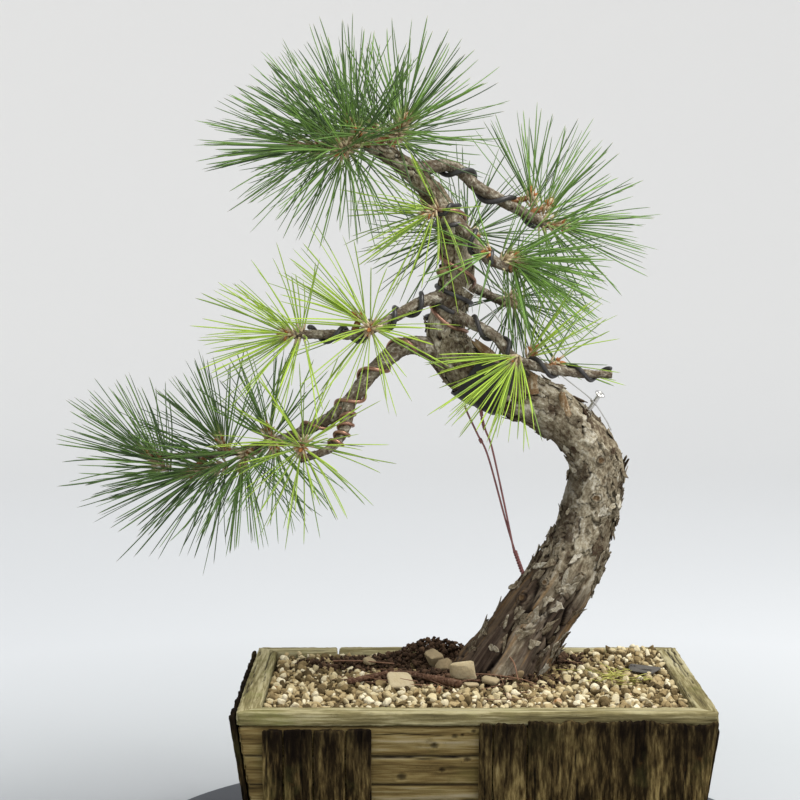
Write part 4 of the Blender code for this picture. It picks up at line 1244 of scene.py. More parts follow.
def needle_bundle(start, direction, bend, length, radius, flat_way):
    """(points, quads, triangles, along, around) of many needles, each row one needle."""
    count, rings, corners = len(start), len(NEEDLE_STOPS), len(NEEDLE_SECTION)
    t = NEEDLE_STOPS[None, :, None]
    curve = direction[:, None] * t + bend[:, None] * (t**2)
    line = start[:, None] + curve * length[:, None, None]
    tip = start + (direction + bend) * length[:, None]
    wide = unit(np.cross(direction, flat_way))
    deep = unit(np.cross(wide, direction))
    taper = (1.0 - 0.30 * NEEDLE_STOPS**2) * np.where(NEEDLE_STOPS > 0.9, 0.72, 1.0)
    size = (radius[:, None] * taper)[..., None, None]
    flat, thick = NEEDLE_SECTION[:, :1], NEEDLE_SECTION[:, 1:]
    section = flat * wide[:, None, None] + thick * deep[:, None, None]
    body = line[:, :, None] + size * section
    points = np.concatenate([body.reshape(count, -1, 3), tip[:, None]], axis=1)
    per_needle = rings * corners + 1
    last, ring = (rings - 1) * corners, np.arange(corners)
    tips = np.stack([last + ring, last + (ring + 1) % corners, np.full(corners, per_needle - 1)], -1)
    base = np.array([[corners - 1 - k for k in range(corners)]])
    shift = (np.arange(count) * per_needle)[:, None, None]
    all_quads = np.concatenate([wall_quads(rings, corners), base])[None] + shift
    along = np.tile(np.concatenate([np.repeat(NEEDLE_STOPS, corners), [1.0]]), count)
    around = np.tile(np.concatenate([np.tile(np.arange(corners) / corners, rings), [0.5]]), count)
    all_tips = (tips[None] + shift).reshape(-1, 3)
    return points.reshape(-1, 3), all_quads.reshape(-1, 4), all_tips, along, around


def strip_map(mesh, count):
    """A texture map with a strip of its own for each needle, side by side in rows."""
    rows = max(1, round(math.sqrt(count / 6)))
    columns = math.ceil(count / rows)
    rings, corners = len(NEEDLE_STOPS), len(NEEDLE_SECTION)
    per_needle = rings * corners + 1
    loops = np.empty(len(mesh.loops), np.int32)
    mesh.loops.foreach_get("vertex_index", loops)
    needle, part = loops // per_needle, loops % per_needle
    across = (part % corners) / corners
    up = np.concatenate([np.repeat(NEEDLE_STOPS, corners), [1.0]])[part]
    starts = np.empty(len(mesh.polygons), np.int32)
    mesh.polygons.foreach_get("loop_start", starts)
    face = np.searchsorted(starts, np.arange(len(loops)), side="right") - 1
    on_seam = (part % corners == 0) & (part < per_needle - 1)
    has_first = np.bincount(face, weights=on_seam) > 0
    has_last = np.bincount(face, weights=(part % corners == corners - 1)) > 0
    across = np.where((has_first & has_last)[face] & on_seam, 1.0, across)
    across = np.where(part == per_needle - 1, 0.5, across)
    u = (needle % columns + 0.08 + 0.84 * across) / columns
    v = (needle // columns + 0.03 + 0.94 * up) / rows
    layer = mesh.uv_layers.new(name="OFBake")
    layer.data.foreach_set("uv", np.stack([u, v], -1).astype(np.float32).ravel())


# %% shoots and tufts
def shoot_line(start, bud, facing):
    """The twig's smooth line from the wood to its bud, turning to face its own way."""
    start, bud = np.array(start) * MM, np.array(bud) * MM
    span = np.linalg.norm(bud - start)
    t = np.linspace(0, 1, 15)[:, None]
    leave = (bud - start) * 1.1
    arrive = np.array(facing) * span * 0.9
    line = (2 * t**3 - 3 * t**2 + 1) * start + (t**3 - 2 * t**2 + t) * leave
    return line + (3 * t**2 - 2 * t**3) * bud + (t**3 - t**2) * arrive


def grow(shoot, random):
    """Needles and sheaths of one shoot."""
    _, start, bud, facing, pairs, long, leafy, bright, (widest, narrowest) = shoot
    facing = unit(np.array(facing, float))
    line = shoot_line(start, bud, facing)
    side, up = square_to(facing)
    share = (np.arange(pairs) + 0.5) / pairs
    turn = np.arange(pairs) * GOLDEN_TURN + random.uniform(0, 6.3)
    open_angle = widest + (narrowest - widest) * share**0.9 + random.normal(0, 8, pairs)
    open_angle = np.radians(np.abs(open_angle))
    out = np.cos(turn)[:, None] * side + np.sin(turn)[:, None] * up
    pointing = np.cos(open_angle)[:, None] * facing + np.sin(open_angle)[:, None] * out
    foot = line[-1] - facing * (leafy * MM * (1 - share))[:, None] + out * 0.0012
    spread = np.cross(pointing, unit(random.normal(0, 1, (pairs, 3))))
    spread = unit(spread) * np.radians(random.uniform(2.0, 6.5, pairs))[:, None]
    both = np.concatenate([unit(pointing + spread), unit(pointing - spread)])
    twice = np.concatenate([pointing, pointing])
    shorter = 1 - 0.10 * np.concatenate([share, share]) ** 3
    length = long * MM * random.uniform(0.80, 1.04, 2 * pairs) * shorter
    bend = 0.15 * (facing - both) * random.uniform(-0.2, 1.0, (2 * pairs, 1))
    bend += random.normal(0, 0.040, (2 * pairs, 3)) + np.array([0, 0, -0.03])
    feet = np.concatenate([foot, foot]) + both * 0.003
    radius = random.uniform(0.55, 0.78, 2 * pairs) * MM
    needles = (feet, both, bend, length, radius, twice + random.normal(0, 0.4, (2 * pairs, 3)))
    tint = np.clip(bright + random.normal(-0.075, 0.28, 2 * pairs), 0, 1)
    sheaths = [
        sheath(foot[i] - pointing[i] * 0.001, foot[i] + pointing[i] * random.uniform(0.004, 0.0065), random)
        for i in range(pairs)
    ]
    return needles, tint, sheaths, line


def sheath(start, end, random):
    """A thin papery tube that holds a pair of needles."""
    middle = (start + end) / 2
    path = np.array([(*start, 0.00085), (*middle, 0.00112), (*end, 0.00088)])
    points, quads, triangles = round_tube(path, 6)
    tint = np.full(len(points), float(random.uniform(0.1, 1.0)))
    return points, all_triangles(quads, triangles), {"tint": tint}


random = np.random.default_rng(4)
tufts, all_sheaths, shoot_lines = {}, [], []
for shoot in SHOOTS:
    needles, tint, sheaths, line = grow(shoot, random)
    tufts.setdefault(shoot[0], []).append((needles, tint))
    all_sheaths += sheaths
    shoot_lines.append((line, shoot))
for tuft, grown in tufts.items():
    rows = [np.concatenate([needles[k] for needles, _ in grown]) for k in range(6)]
    tint = np.concatenate([tint for _, tint in grown])
    points, quads, triangles, along, around = needle_bundle(*rows)
    tuft_mesh = mesh_of("tuft_" + tuft, points, quads, triangles)
    mark(tuft_mesh, along=along, around=around, tint=np.repeat(tint, len(points) // len(tint)))
    strip_map(tuft_mesh, len(tint))
    green = tuft in GREEN_TUFTS
    finish, slot = (NEEDLES_GREEN, "needles_green") if green else (NEEDLES_LIGHT, "needles_light")
    add_piece("tuft_" + tuft, tuft_mesh, finish, slot, "needles_" + tuft)
piece_from("needle_sheaths", all_sheaths, SHEATH, "branch_bark")

# %% [markdown]
# ## Twigs and buds
#
# Each shoot stands on a twig, orange-brown and rough with the pegs of old needles, and ends in a
# cluster of pointed buds covered in papery scales. The scales are a spiral of small steps pushed
# into a spindle shape.

# %% twig pieces
twigs = []
for index, (line, shoot) in enumerate(shoot_lines):
    thick = np.linspace(2.7, 2.0, len(line))[:, None] * MM
    path = np.hstack([line, thick])
    stops = np.linspace(0, len(path) - 1, max(24, int(arc_lengths(path)[-1] / 0.0008)))
    fine = read_along(stops, np.arange(len(path)), path)
    points, quads, triangles, marks = wood_tube(fine, 16, 0.0021, 0.00055, 900 + index, 0.35)
    twigs.append((points, all_triangles(quads, triangles), marks))
piece_from("twigs", twigs, TWIG_BARK, "branch_bark")

# %% bud pieces
BUD_RINGS, BUD_SIDES = 12, 12


def spindle_bud(foot, pointing, length, radius, seed):
    """(points, faces, marks) of one bud with a spiral of scales."""
    share = np.linspace(0.02, 0.985, BUD_RINGS)
    outline = radius * np.sin(np.pi * share**0.75) ** 0.8
    line = foot + np.outer(share * length, pointing)
    path = np.hstack([line, outline[:, None]])
    turn = turns_of(BUD_SIDES)
    spiral = (share[:, None] * 5.0 + turn[None] / (2 * np.pi) * 2 + seed * 0.13) % 1.0
    reach = outline[:, None] * (1 + 0.26 * (spiral - 0.5))
    points, quads, triangles = closed_tube(path, reach)
    tint = np.concatenate([spiral.ravel(), [0.4, 0.9]])
    return points, all_triangles(quads, triangles), {"tint": tint}


random = np.random.default_rng(8)
buds = []
for index, (line, shoot) in enumerate(shoot_lines):
    facing = unit(np.array(shoot[3], float))
    side, up = square_to(facing)
    buds.append(spindle_bud(line[-1] - facing * 0.002, facing, 0.0082, 0.0017, index))
    for k in range(6):
        turn = k * 1.05 + random.uniform(0, 0.5)
        out = np.cos(turn) * side + np.sin(turn) * up
        pointing = unit(facing * random.uniform(0.7, 1.3) + out)
        foot = line[-1] - facing * 0.003 + out * 0.0012
        buds.append(spindle_bud(foot, pointing, random.uniform(0.004, 0.0068), 0.0010, index + k))
piece_from("buds", buds, BUD, "branch_bark")

# %% [markdown]
# ## Training wires
#
# Soft wire is wound round a branch at a steady slope and bends it. A winding is a helix, but one
# that follows the branch: at each step the wire stands off the path by the wood's radius there plus
# its own. Aluminium wire, anodised black, holds most of the branches. Annealed copper, dull and
# dark, holds the trunk's top and the lower left branch. Where two wires cross, the later one is
# pushed out over the first, as it would be by hand.

# %% winding helper
POINTS_PER_TURN = 40
WIRE_SIDES = 14
WIRE_CLEARANCE_MM = 0.15
WOBBLE = 0.05


def winding(branch, first_mm, last_mm, radius_mm, pitch_mm, angle):
    """Rows of x, y, z and radius of a wire wound between two distances along a branch."""
    path = wood_paths[branch]
    lengths, frames = arc_lengths(path), frames_along(path)
    last = min(last_mm * MM, lengths[-1])
    first = first_mm * MM
    steps = int((last - first) / abs(pitch_mm * MM) * POINTS_PER_TURN)
    along = np.linspace(first, last, steps + 1)
    at = read_along(along, lengths, path)
    side, up = (read_along(along, lengths, frame_part) for frame_part in frames[1:])
    turn = angle + 2 * np.pi * (along - first) / (pitch_mm * MM)
    turn = turn + WOBBLE * 3 * np.sin(turn * 0.37 + angle)
    reach = at[:, 3] + (radius_mm + WIRE_CLEARANCE_MM) * MM
    out = np.cos(turn)[:, None] * side + np.sin(turn)[:, None] * up
    place = at[:, :3] + reach[:, None] * out
    return smooth_path([(*point / MM, radius_mm) for point in place[::2]], 0.9)


def lay_over(wire, others):
    """The wire pushed clear of wires that are already there, and smoothed."""
    moved = wire.copy()
    for _ in range(6):
        push = np.zeros((len(moved), 3))
        for other in others:
            gaps = moved[:, None, :3] - other[None, ::2, :3]
            distance = np.linalg.norm(gaps, axis=2)
            nearest = distance.argmin(axis=1)
            rows = np.arange(len(moved))
            short = moved[:, 3] + other[0, 3] - distance[rows, nearest]
            way = gaps[rows, nearest] / np.maximum(distance[rows, nearest], 1e-6)[:, None]
            push += way * np.clip(short, 0, None)[:, None]
        for _ in range(5):
            push[1:-1] = 0.5 * push[1:-1] + 0.25 * (push[2:] + push[:-2])
        moved[:, :3] += push * 1.15
    return moved


def wire_shapes(wires, sides=WIRE_SIDES):
    """Closed tubes for wires, slightly flattened here and there by the pliers."""
    shapes = []
    for wire in wires:
        places = unbent_places(wire, sides, 1.0)
        reach = wire[:, 3:4] * (1 + 0.035 * smooth_noise(places, 0.006, 5).reshape(-1, sides))
        reach[0] *= 0.82
        reach[-1] *= 0.82
        points, quads, triangles = closed_tube(wire, reach)
        shapes.append((points, all_triangles(quads, triangles), {}))
    return shapes


# %% wires
copper_trunk = winding("trunk", 407, 556, 1.7, -49, 5.41)
copper_lower = winding("branch_lower_left", 22, 196, 1.6, 34, 6.15)
copper_fork = winding("fork", 6, 44, 1.5, 9, 0.4)
black_middle = winding("branch_middle_left", 22, 134, 2.1, -26, 3.8)
black_upper = winding("branch_upper_right", 20, 122, 2.1, -44, 5.46)
black_lower = winding("branch_lower_right", 22, 158, 1.8, 33, 2.75)
black_right = winding("branch_right", 20, 62, 1.9, 24, 1.7)
black_trunk = winding("trunk", 418, 448, 2.0, -14, 2.6)
black_top = winding("trunk", 500, 522, 2.0, -14, 5.0)
copper_fork = lay_over(copper_fork, [copper_lower])
black_trunk, black_top, black_right = (
    lay_over(wire, [copper_trunk]) for wire in (black_trunk, black_top, black_right)
)
for node, wires, finish, slot in (
    ("copper_wire_trunk", [copper_trunk], COPPER, "copper_wire"),
    ("copper_wire_lower_left", [copper_lower, copper_fork], COPPER, "copper_wire"),
    ("black_wire_middle_left", [black_middle], BLACK_WIRE, "black_wire"),
    ("black_wire_upper_right", [black_upper, black_top], BLACK_WIRE, "black_wire"),
    ("black_wire_lower_right", [black_lower], BLACK_WIRE, "black_wire"),
):
    piece_from(node + "_wound", wire_shapes(wires), finish, slot, node)
piece_from("black_wire_on_trunk", wire_shapes([black_trunk, black_right]), BLACK_WIRE, "black_wire")

# %% [markdown]
# ## Rubber pad and guy wires
#
# Two thin copper guys pull the upper trunk down towards the foot. A strip of rubber keeps them from
# cutting the bark. The rubber is a bent sheet that bulges and creases where the wires press, so it
# is an open ring of points with thickness, pushed in along the wires. The guys are twisted together
# at both ends.

# %% rubber pad
PAD_FIRST_MM, PAD_LAST_MM = 335, 371
pad_rows, pad_sides = 34, 110
pad_along = np.linspace(PAD_FIRST_MM, PAD_LAST_MM, pad_rows) * MM
pad_path, *pad_frames = (read_along(pad_along, trunk_lengths, part) for part in (trunk_path, *trunk_frames))
pad_places = unbent_places(pad_path, pad_sides, 1.0)
ripple = 0.0011 * smooth_noise(pad_places, (0.012, 0.012, 0.020), 31)
ripple = ripple + 0.0005 * smooth_noise(pad_places, 0.005, 32)
crease = 0.0008 * np.exp(-(((np.repeat(pad_along, pad_sides) - 0.351) / 0.0022) ** 2))
pad_reach = (np.repeat(pad_path[:, 3], pad_sides) + 0.0024 + ripple - crease).reshape(pad_rows, pad_sides)
edge_wave = 0.0016 * smooth_noise(pad_places, 0.010, 33).reshape(pad_rows, pad_sides)


def pad_shell(extra):
    """The rubber's outer or inner face, with wavy edges."""
    points, _ = tube_points(pad_path, pad_frames, pad_reach + extra)
    share = np.abs(np.linspace(-1, 1, pad_rows))[:, None, None] ** 3
    return points + share * edge_wave[:, :, None] * pad_frames[0][:, None]


outer, inner = pad_shell(0.0), pad_shell(-0.0019)
shell_quads = wall_quads(pad_rows, pad_sides)
inner_start = pad_rows * pad_sides
ring = np.arange(pad_sides)
ring_next = (ring + 1) % pad_sides
last = (pad_rows - 1) * pad_sides
closing = np.vstack([
    np.stack([ring_next, ring, ring + inner_start, ring_next + inner_start], -1),
    np.stack([last + ring, last + ring_next, last + ring_next + inner_start, last + ring + inner_start], -1),
])
pad_points = np.vstack([outer.reshape(-1, 3), inner.reshape(-1, 3)])
pad_mesh = mesh_of("rubber_sleeve", pad_points, shell_quads, shell_quads[:, ::-1] + inner_start, closing)
add_piece("rubber_sleeve", pad_mesh, RUBBER, "rubber", "rubber_pad")

# %% guy wires
GUY_RADIUS_MM = 0.85


def twisted(points_mm, radius_mm, pitch_mm, phase=0.0):
    """Two wires twisted round one line."""
    core = smooth_path([(*point, radius_mm) for point in points_mm], 0.5)
    _, side, up = frames_along(core)
    turn = (2 * np.pi * arc_lengths(core) / (pitch_mm * MM) + phase)[:, None]
    pair = []
    for half in (0, np.pi):
        place = core[:, :3] + 1.02 * radius_mm * MM * (np.cos(turn + half) * side + np.sin(turn + half) * up)
        pair.append(np.hstack([place, core[:, 3:4]]))
    return pair


def single(points_mm, radius_mm):
    """One wire through these places."""
    return smooth_path([(*point, radius_mm) for point in points_mm], 1.5)


guys = [
    single(
        ((-6, 17, 362), (-4, 17, 356), (5, 18.5, 337), (14, 20, 318), (29, 23, 264), (38, 24.5, 234)),
        GUY_RADIUS_MM,
    ),
    single(
        ((6, 3, 361), (7.5, 3.5, 354), (11.5, 8, 341), (17, 13, 326), (27, 20, 282), (37, 23.5, 234)),
        GUY_RADIUS_MM,
    ),
]
guys += twisted(((37.5, 24, 236), (39.5, 24.5, 230), (42, 25.5, 223), (44.5, 26, 217), (50, 26, 211)), 1.0, 5.0)
guys += twisted(((8, 4, 352), (9.2, 5, 347), (10.5, 7, 342)), 0.75, 3.2)
guys += twisted(((6.5, 2.5, 371), (7.0, 2.8, 364), (7.8, 3.8, 354)), 0.8, 4.0)
guys += twisted(((7.0, 18.6, 333), (8.6, 19.0, 330)), 0.9, 3.0)
piece_from("guy_wires_twisted", wire_shapes(guys, 10), GUY_COPPER, "copper_wire", "guy_wires")

# %% [markdown]
# ## Steel guy and screw
#
# A thin bright wire runs from the upper trunk to a screw in the bend and goes on past it as a cut
# tail. The screw has a real thread and a cross recess, small as they are.

# %% steel guy
STEEL_RADIUS_MM = 0.5
steel_line = single(
    (
        (-9, -13, 463), (12, -11, 447), (28, -9.5, 428), (74, -3, 389), (100, 6, 368), (112, 9, 352),
        (118, 11, 341),
    ),
    STEEL_RADIUS_MM,
)
steel_loop = []
for k in range(70):
    turn = 2 * math.pi * k / 24
    x = 102.6 + 2.9 * math.cos(turn) * 0.8
    y = 10.3 + 2.9 * math.sin(turn) * 0.85
    steel_loop.append((x, y, 364.0 + 0.38 * k / 10 - 1.8 * math.cos(turn), STEEL_RADIUS_MM))
steel = [steel_line, smooth_path(steel_loop, 0.6)]
piece_from("steel_guy_twisted", wire_shapes(steel, 8), STEEL, "steel", "steel_guy_wire")

# %% screw
SCREW_FOOT = np.array((99.5, 13, 359)) * MM
SCREW_HEAD = np.array((107, 6, 371)) * MM
screw_axis = unit(SCREW_HEAD - SCREW_FOOT)
screw_length = np.linalg.norm(SCREW_HEAD - SCREW_FOOT)
# Height over the shank and radius, both in millimetres
HEAD_OUTLINE = (
    (0.00, 1.75), (0.22, 1.75), (0.35, 1.9), (0.9, 3.6), (1.25, 4.2), (1.6, 4.3), (1.95, 4.2), (2.3, 3.7),
    (2.55, 2.6), (2.62, 1.5), (2.2, 1.3), (1.7, 1.1), (1.2, 0.6), (1.1, 0.2),
)
THREAD_PITCH, THREAD_STEPS, SCREW_SIDES = 1.5, 110, 32
CROSS_HALF, CROSS_DEPTH = 0.45, 0.9
turn = turns_of(SCREW_SIDES)
heights, radii = [], []
for k in range(THREAD_STEPS):
    height = -3.0 + (screw_length / MM + 3.0) * k / THREAD_STEPS
    phase = (height / THREAD_PITCH - turn / (2 * np.pi)) % 1.0
    ridge = np.clip(1 - np.abs(phase - 0.5) * 5, 0, 1)
    fade = ease(np.array([height]), screw_length / MM - 1.2, screw_length / MM - 0.2)[0]
    heights.append(np.full(SCREW_SIDES, height))
    radii.append(1.5 + 0.55 * ridge * (1 - fade) + 0.25 * fade)
for rise, radius in HEAD_OUTLINE:
    arms = (np.exp(-((way * radius / CROSS_HALF) ** 2)) for way in (np.sin(turn), np.cos(turn)))
    sink = CROSS_DEPTH * np.maximum(*arms) if (rise > 2.5 and radius < 3.0) else 0.0
    heights.append(np.full(SCREW_SIDES, screw_length / MM + rise) - sink)
    radii.append(np.full(SCREW_SIDES, radius))
screw_side, screw_up = square_to(screw_axis)
heights, radii = np.array(heights), np.array(radii)
out = np.cos(turn)[:, None] * screw_side + np.sin(turn)[:, None] * screw_up
body_points = SCREW_FOOT + heights[..., None] * MM * screw_axis + radii[..., None] * MM * out[None]
screw_ends = np.array([SCREW_FOOT - 0.003 * screw_axis, SCREW_HEAD + 0.0005 * screw_axis])
quads, triangles = tube_faces(len(heights), SCREW_SIDES)
screw_points = np.vstack([body_points.reshape(-1, 3), screw_ends])
screw_mesh = mesh_of("steel_screw", screw_points, quads, triangles)
add_piece("steel_screw", screw_mesh, STEEL, "steel", "guy_screw")

# %% [markdown]
# ## Boards from the measured solids
#
# Each board of the box is already a solid of the right size. Its copy is remeshed into small even
# faces, and then weathered: fibres stand up, growth bands sink, cracks open along the grain, knots
# swirl and edges crumble. The solid stays as it was, hidden, and the weathered copy stands for it.
# Each point also stores its place in the board's own directions: along the grain, across it and
# through it. That is what the streaks of the finish follow.

# %% remeshed copies
def dense_copy(node, voxel):
    """(points, quads, normals) of this measured solid's faces, remeshed to this size."""
    shape = bmesh.new()
    shape.from_mesh(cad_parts[node].data)
    bmesh.ops.remove_doubles(shape, verts=shape.verts, dist=0.00001)
    mesh = bpy.data.meshes.new("dense")
    shape.to_mesh(mesh)
    shape.free()
    thing = bpy.data.objects.new("dense", mesh)
    bpy.context.scene.collection.objects.link(thing)
    voxels = thing.modifiers.new("voxels", "REMESH")
    voxels.mode = "VOXEL"
    voxels.voxel_size = voxel
    bpy.context.view_layer.update()
    made = thing.evaluated_get(bpy.context.evaluated_depsgraph_get()).to_mesh()
    points = np.empty(len(made.vertices) * 3)
    normals = points.copy()
    made.vertices.foreach_get("co", points)
    made.vertices.foreach_get("normal", normals)
    corners = np.empty(len(made.loops), np.int32)
    made.loops.foreach_get("vertex_index", corners)
    bpy.data.objects.remove(thing, do_unlink=True)
    return points.reshape(-1, 3), corners.reshape(-1, 4), normals.reshape(-1, 3)


# %% weathering
# The walls are built of this many level boards, one on another
COURSES = 5


def cracks_on(grain, spans, count, seed, cross_range, along_range):
    """How open a crack is at each point, from 0 to 1, for random cracks along the grain."""
    random = np.random.default_rng(seed)
    opened = np.zeros(len(grain))
    for index in range(count):
        line = random.uniform(*cross_range)
        first = random.uniform(along_range[0] - 0.02, along_range[1])
        span = random.uniform(*spans)
        wide = random.uniform(0.28, 0.75) * MM
        wander = 0.0011 * smooth_noise(grain * (1, 0, 0), 0.018, seed + index)
        gap = np.abs(grain[:, 1] - line - wander)
        begun = ease(grain[:, 0], first, first + 0.008)
        window = begun * ease(first + span - grain[:, 0], 0.0, 0.012)
        opened = np.maximum(opened, np.exp(-((gap / wide) ** 2)) * window)
    return opened


def weather(points, normals, grain, seed, roughness):
    """Moves points along their normals into fibres and growth bands."""
    fibres = smooth_noise(grain, (0.030, 0.0011, 0.0011), seed)
    splinters = smooth_noise(grain, (0.012, 0.0022, 0.0022), seed + 1)
    bands = smooth_noise(grain, (0.140, 0.0032, 0.0032), seed + 2)
    waves = smooth_noise(grain, (0.070, 0.020, 0.020), seed + 3)
    relief = (0.14 * fibres + 0.16 * splinters + 0.22 * bands) * roughness + 0.22 * waves
    return points + normals * (relief * MM)[:, None]


def chip_edges(points, low, high, seed):
    """Pulls the corners of a board inward by an uneven amount, as worn arrises are."""
    middle = (low + high) / 2
    half = (high - low) / 2
    near = np.clip(1 - (half - np.abs(points - middle)) / 0.004, 0, 1)
    corner = np.sort(near, axis=1)[:, 1]
    uneven = 0.45 + 0.55 * smooth_noise(points, 0.007, seed) + 0.5 * smooth_noise(points, 0.0025, seed + 1)
    bite = 0.0014 * corner**2 * uneven
    way = np.sign(points - middle) * near
    length = np.maximum(np.linalg.norm(way, axis=1, keepdims=True), 1e-6)
    return points - way / length * np.clip(bite, 0, None)[:, None]


def board_piece(node, finish, slot, axes, voxel, seed, cracks, deep, roughness, shape_by=None):
    """A weathered board in place of a measured solid. Axes are (along, across, through) as 0, 1, 2."""
    points, quads, normals = dense_copy(node, voxel)
    low, high = points.min(axis=0), points.max(axis=0)
    grain = points[:, axes] + seed * 0.37
    span = (grain[:, 0].min(), grain[:, 0].max())
    cross = (grain[:, 1].min(), grain[:, 1].max())
    opened = cracks_on(grain, (0.02, 0.5 * (span[1] - span[0])), cracks, seed, cross, span)
    outer = ease(np.abs(normals[:, axes[2]]), 0.5, 0.8)
    points = weather(points, normals, grain, seed, roughness)
    points = points - normals * (opened * outer * deep)[:, None]
    points = chip_edges(points, low, high, seed)
    if shape_by is not None:
        points, opened = shape_by(points, opened, outer, low, high)
    if "wall" in node:
        course = np.floor(points[:, 2] / high[2] * COURSES)
        grain = grain + np.outer(course, (1.7, 0, 0))
    mesh = mesh_of("old_" + node, points, quads)
    rise = (points[:, 2] - low[2]) / (high[2] - low[2])
    mark(mesh, grain=grain, crack=np.clip(opened * outer, 0, 1), height=rise)
    add_piece("old_" + node, mesh, finish, slot, node)


# %% [markdown]
# ## Rim, walls and floor
#
# The rim's four sides are mitred boards, greener and paler than the rest where rain has washed them.
# The back one was sawn through once. The walls under it are five level courses with open joints, and
# each course takes its streaks from another part of the pattern, as another board would. The middle
# of each knot is sunk, dark and cracked, and the wood round it stands up a little.

# %% joints and knots
JOINT_HALF = 0.0008
JOINT_DEPTH = 0.0010


def coursed(knots=()):
    """A function that opens the joints between courses and adds knots: (along, up, size) in millimetres."""

    def shape_by(points, opened, outer, low, high):
        joints = np.round(points[:, 2] / high[2] * COURSES) * high[2] / COURSES
        wander = 0.0003 * smooth_noise(points, 0.02, 8)
        joint = np.exp(-(((points[:, 2] - joints - wander) / JOINT_HALF) ** 2)) * (joints > 0.01)
        opened = np.maximum(opened, joint)
        points = points - np.outer(JOINT_DEPTH * joint * outer, (0, 1, 0)) * np.sign(points[:, 1:2])
        for x, z, size in knots:
            distance = np.hypot((points[:, 0] - x * MM) * 0.8, points[:, 2] - z * MM) / (size * MM)
            ring = np.exp(-((distance - 1.0) ** 2) / 0.03)
            heart = np.exp(-(distance**4))
            opened = np.maximum(opened, np.maximum(0.75 * heart, 0.55 * ring))
            push = (0.0006 * np.exp(-((distance - 1.6) ** 2) / 0.3) - 0.0012 * heart) * outer
            points = points + np.outer(push, (0, -1, 0)) * (points[:, 1:2] < 0)
        return points, opened

    return shape_by


# %% rim pieces
for index, (name, axes) in enumerate((
    ("rim_front", [0, 1, 2]), ("rim_back_left", [0, 1, 2]), ("rim_back_right", [0, 1, 2]),
    ("rim_left", [1, 0, 2]), ("rim_right", [1, 0, 2]),
)):
    board_piece(name, RIM_WOOD, "weathered_wood", axes, 0.0010, 41 + index, 9, 0.0011, 1.15)

# %% wall pieces
FRONT_KNOTS = (
    (-34, 104, 2.2), (-18, 112, 1.6), (-8, 93, 2.0), (-12, 113, 1.1), (-3, 116, 1.4), (-60, 78, 2.6),
    (-28, 84, 1.7),
)
for index, (name, axes, voxel, cracks, deep, roughness, shape_by) in enumerate((
    ("wall_front", [0, 2, 1], 0.0012, 9, 0.0012, 1.1, coursed(FRONT_KNOTS)),
    ("wall_back", [0, 2, 1], 0.0012, 14, 0.0012, 1.1, coursed()),
    ("wall_left", [1, 2, 0], 0.0016, 12, 0.0012, 1.0, None),
    ("wall_right", [1, 2, 0], 0.0016, 12, 0.0012, 1.0, None),
    ("floor_board", [0, 1, 2], 0.0025, 8, 0.0008, 0.8, None),
)):
    board_piece(name, WALL_WOOD, "weathered_wood", axes, voxel, 51 + index, cracks, deep, roughness, shape_by)

# %% [markdown]
# ## Slats
#
# Thin charred boards stand on end outside the front and both sides. They were split, not sawn, so
# their tops are ragged, deep checks run down them, and slivers have come away. The top of each is
# pulled down by an uneven amount, which differs from fibre to fibre. The right front ones are more
# worn than the others and show more bare wood.

# %% slat pieces
def ragged_top(axis, seed, fall, sliver):
    """A function that wears the top of a standing board into splinters."""

    def shape_by(points, opened, outer, low, high):
        across = points[:, axis, None] * (1, 0, 0)
        worn = 0.5 + 0.5 * smooth_noise(across, 0.009, seed)
        fibre = 0.5 + 0.5 * smooth_noise(across, 0.0021, seed + 1)
        near = ease(points[:, 2], high[2] - 0.016, high[2])
        points = points.copy()
        points[:, 2] -= near * (fall * worn**1.5 * 1.6 + sliver * fibre**2 * 1.5)
        foot = ease(low[2] + 0.010 - points[:, 2], 0.0, 0.010)
        points[:, 2] += foot * 0.0016 * fibre
        return points, np.maximum(opened, 0.5 * near * ease(fibre, 0.62, 0.9))

    return shape_by


# name, finish, seed, number of cracks, fall and slivers of the top in metres
SLATS = (
    *((f"slat_left_{index}", SLAT_WOOD, 60 + index, 6, 0.0008, 0.0006) for index in (1, 2, 3, 4)),
    ("slat_right_1", WORN_SLAT_WOOD, 81, 3, 0.0022, 0.0012),
    ("slat_right_2", WORN_SLAT_WOOD, 82, 5, 0.0022, 0.0012),
    ("slat_right_3", WORN_SLAT_WOOD, 83, 26, 0.0022, 0.0012),
)
for name, finish, seed, cracks, fall, sliver in SLATS:
    worn_top = ragged_top(0, seed + 10, fall, sliver)
    board_piece(name, finish, "dark_slats", [2, 0, 1], 0.0009, seed, cracks, 0.0018, 1.3, worn_top)
for seed, name in ((100, "cladding_left"), (101, "cladding_right")):
    worn_top = ragged_top(1, seed + 10, 0.003, 0.0018)
    board_piece(name, SLAT_WOOD, "dark_slats", [2, 1, 0], 0.0012, seed, 34, 0.0016, 1.3, worn_top)

# %% [markdown]
# ## Gravel
#
# The top of the soil is pumice gravel, four to eleven millimetres across. A bump map would lie flat
# at the edge of the box, so every stone is a real one. A stone is a ball cut by random planes, which
# gives flat broken faces, and then roughened. They are thrown down largest first and kept only where
# there is room, in two layers, over a dark bed of earth that shows in the gaps.

# %% soil surface and bed
def soil_height(x, y):
    """The gravel's surface: a low mound at the trunk, heaped into the right back corner."""
    mound = 0.0045 * np.exp(-((x - 0.03) ** 2 + (y - 0.03) ** 2) / 0.07**2)
    heap = 0.0075 * np.exp(-((x - 0.150) ** 2 + (y - 0.105) ** 2) / 0.05**2)
    return SOIL_LEVEL + mound + heap


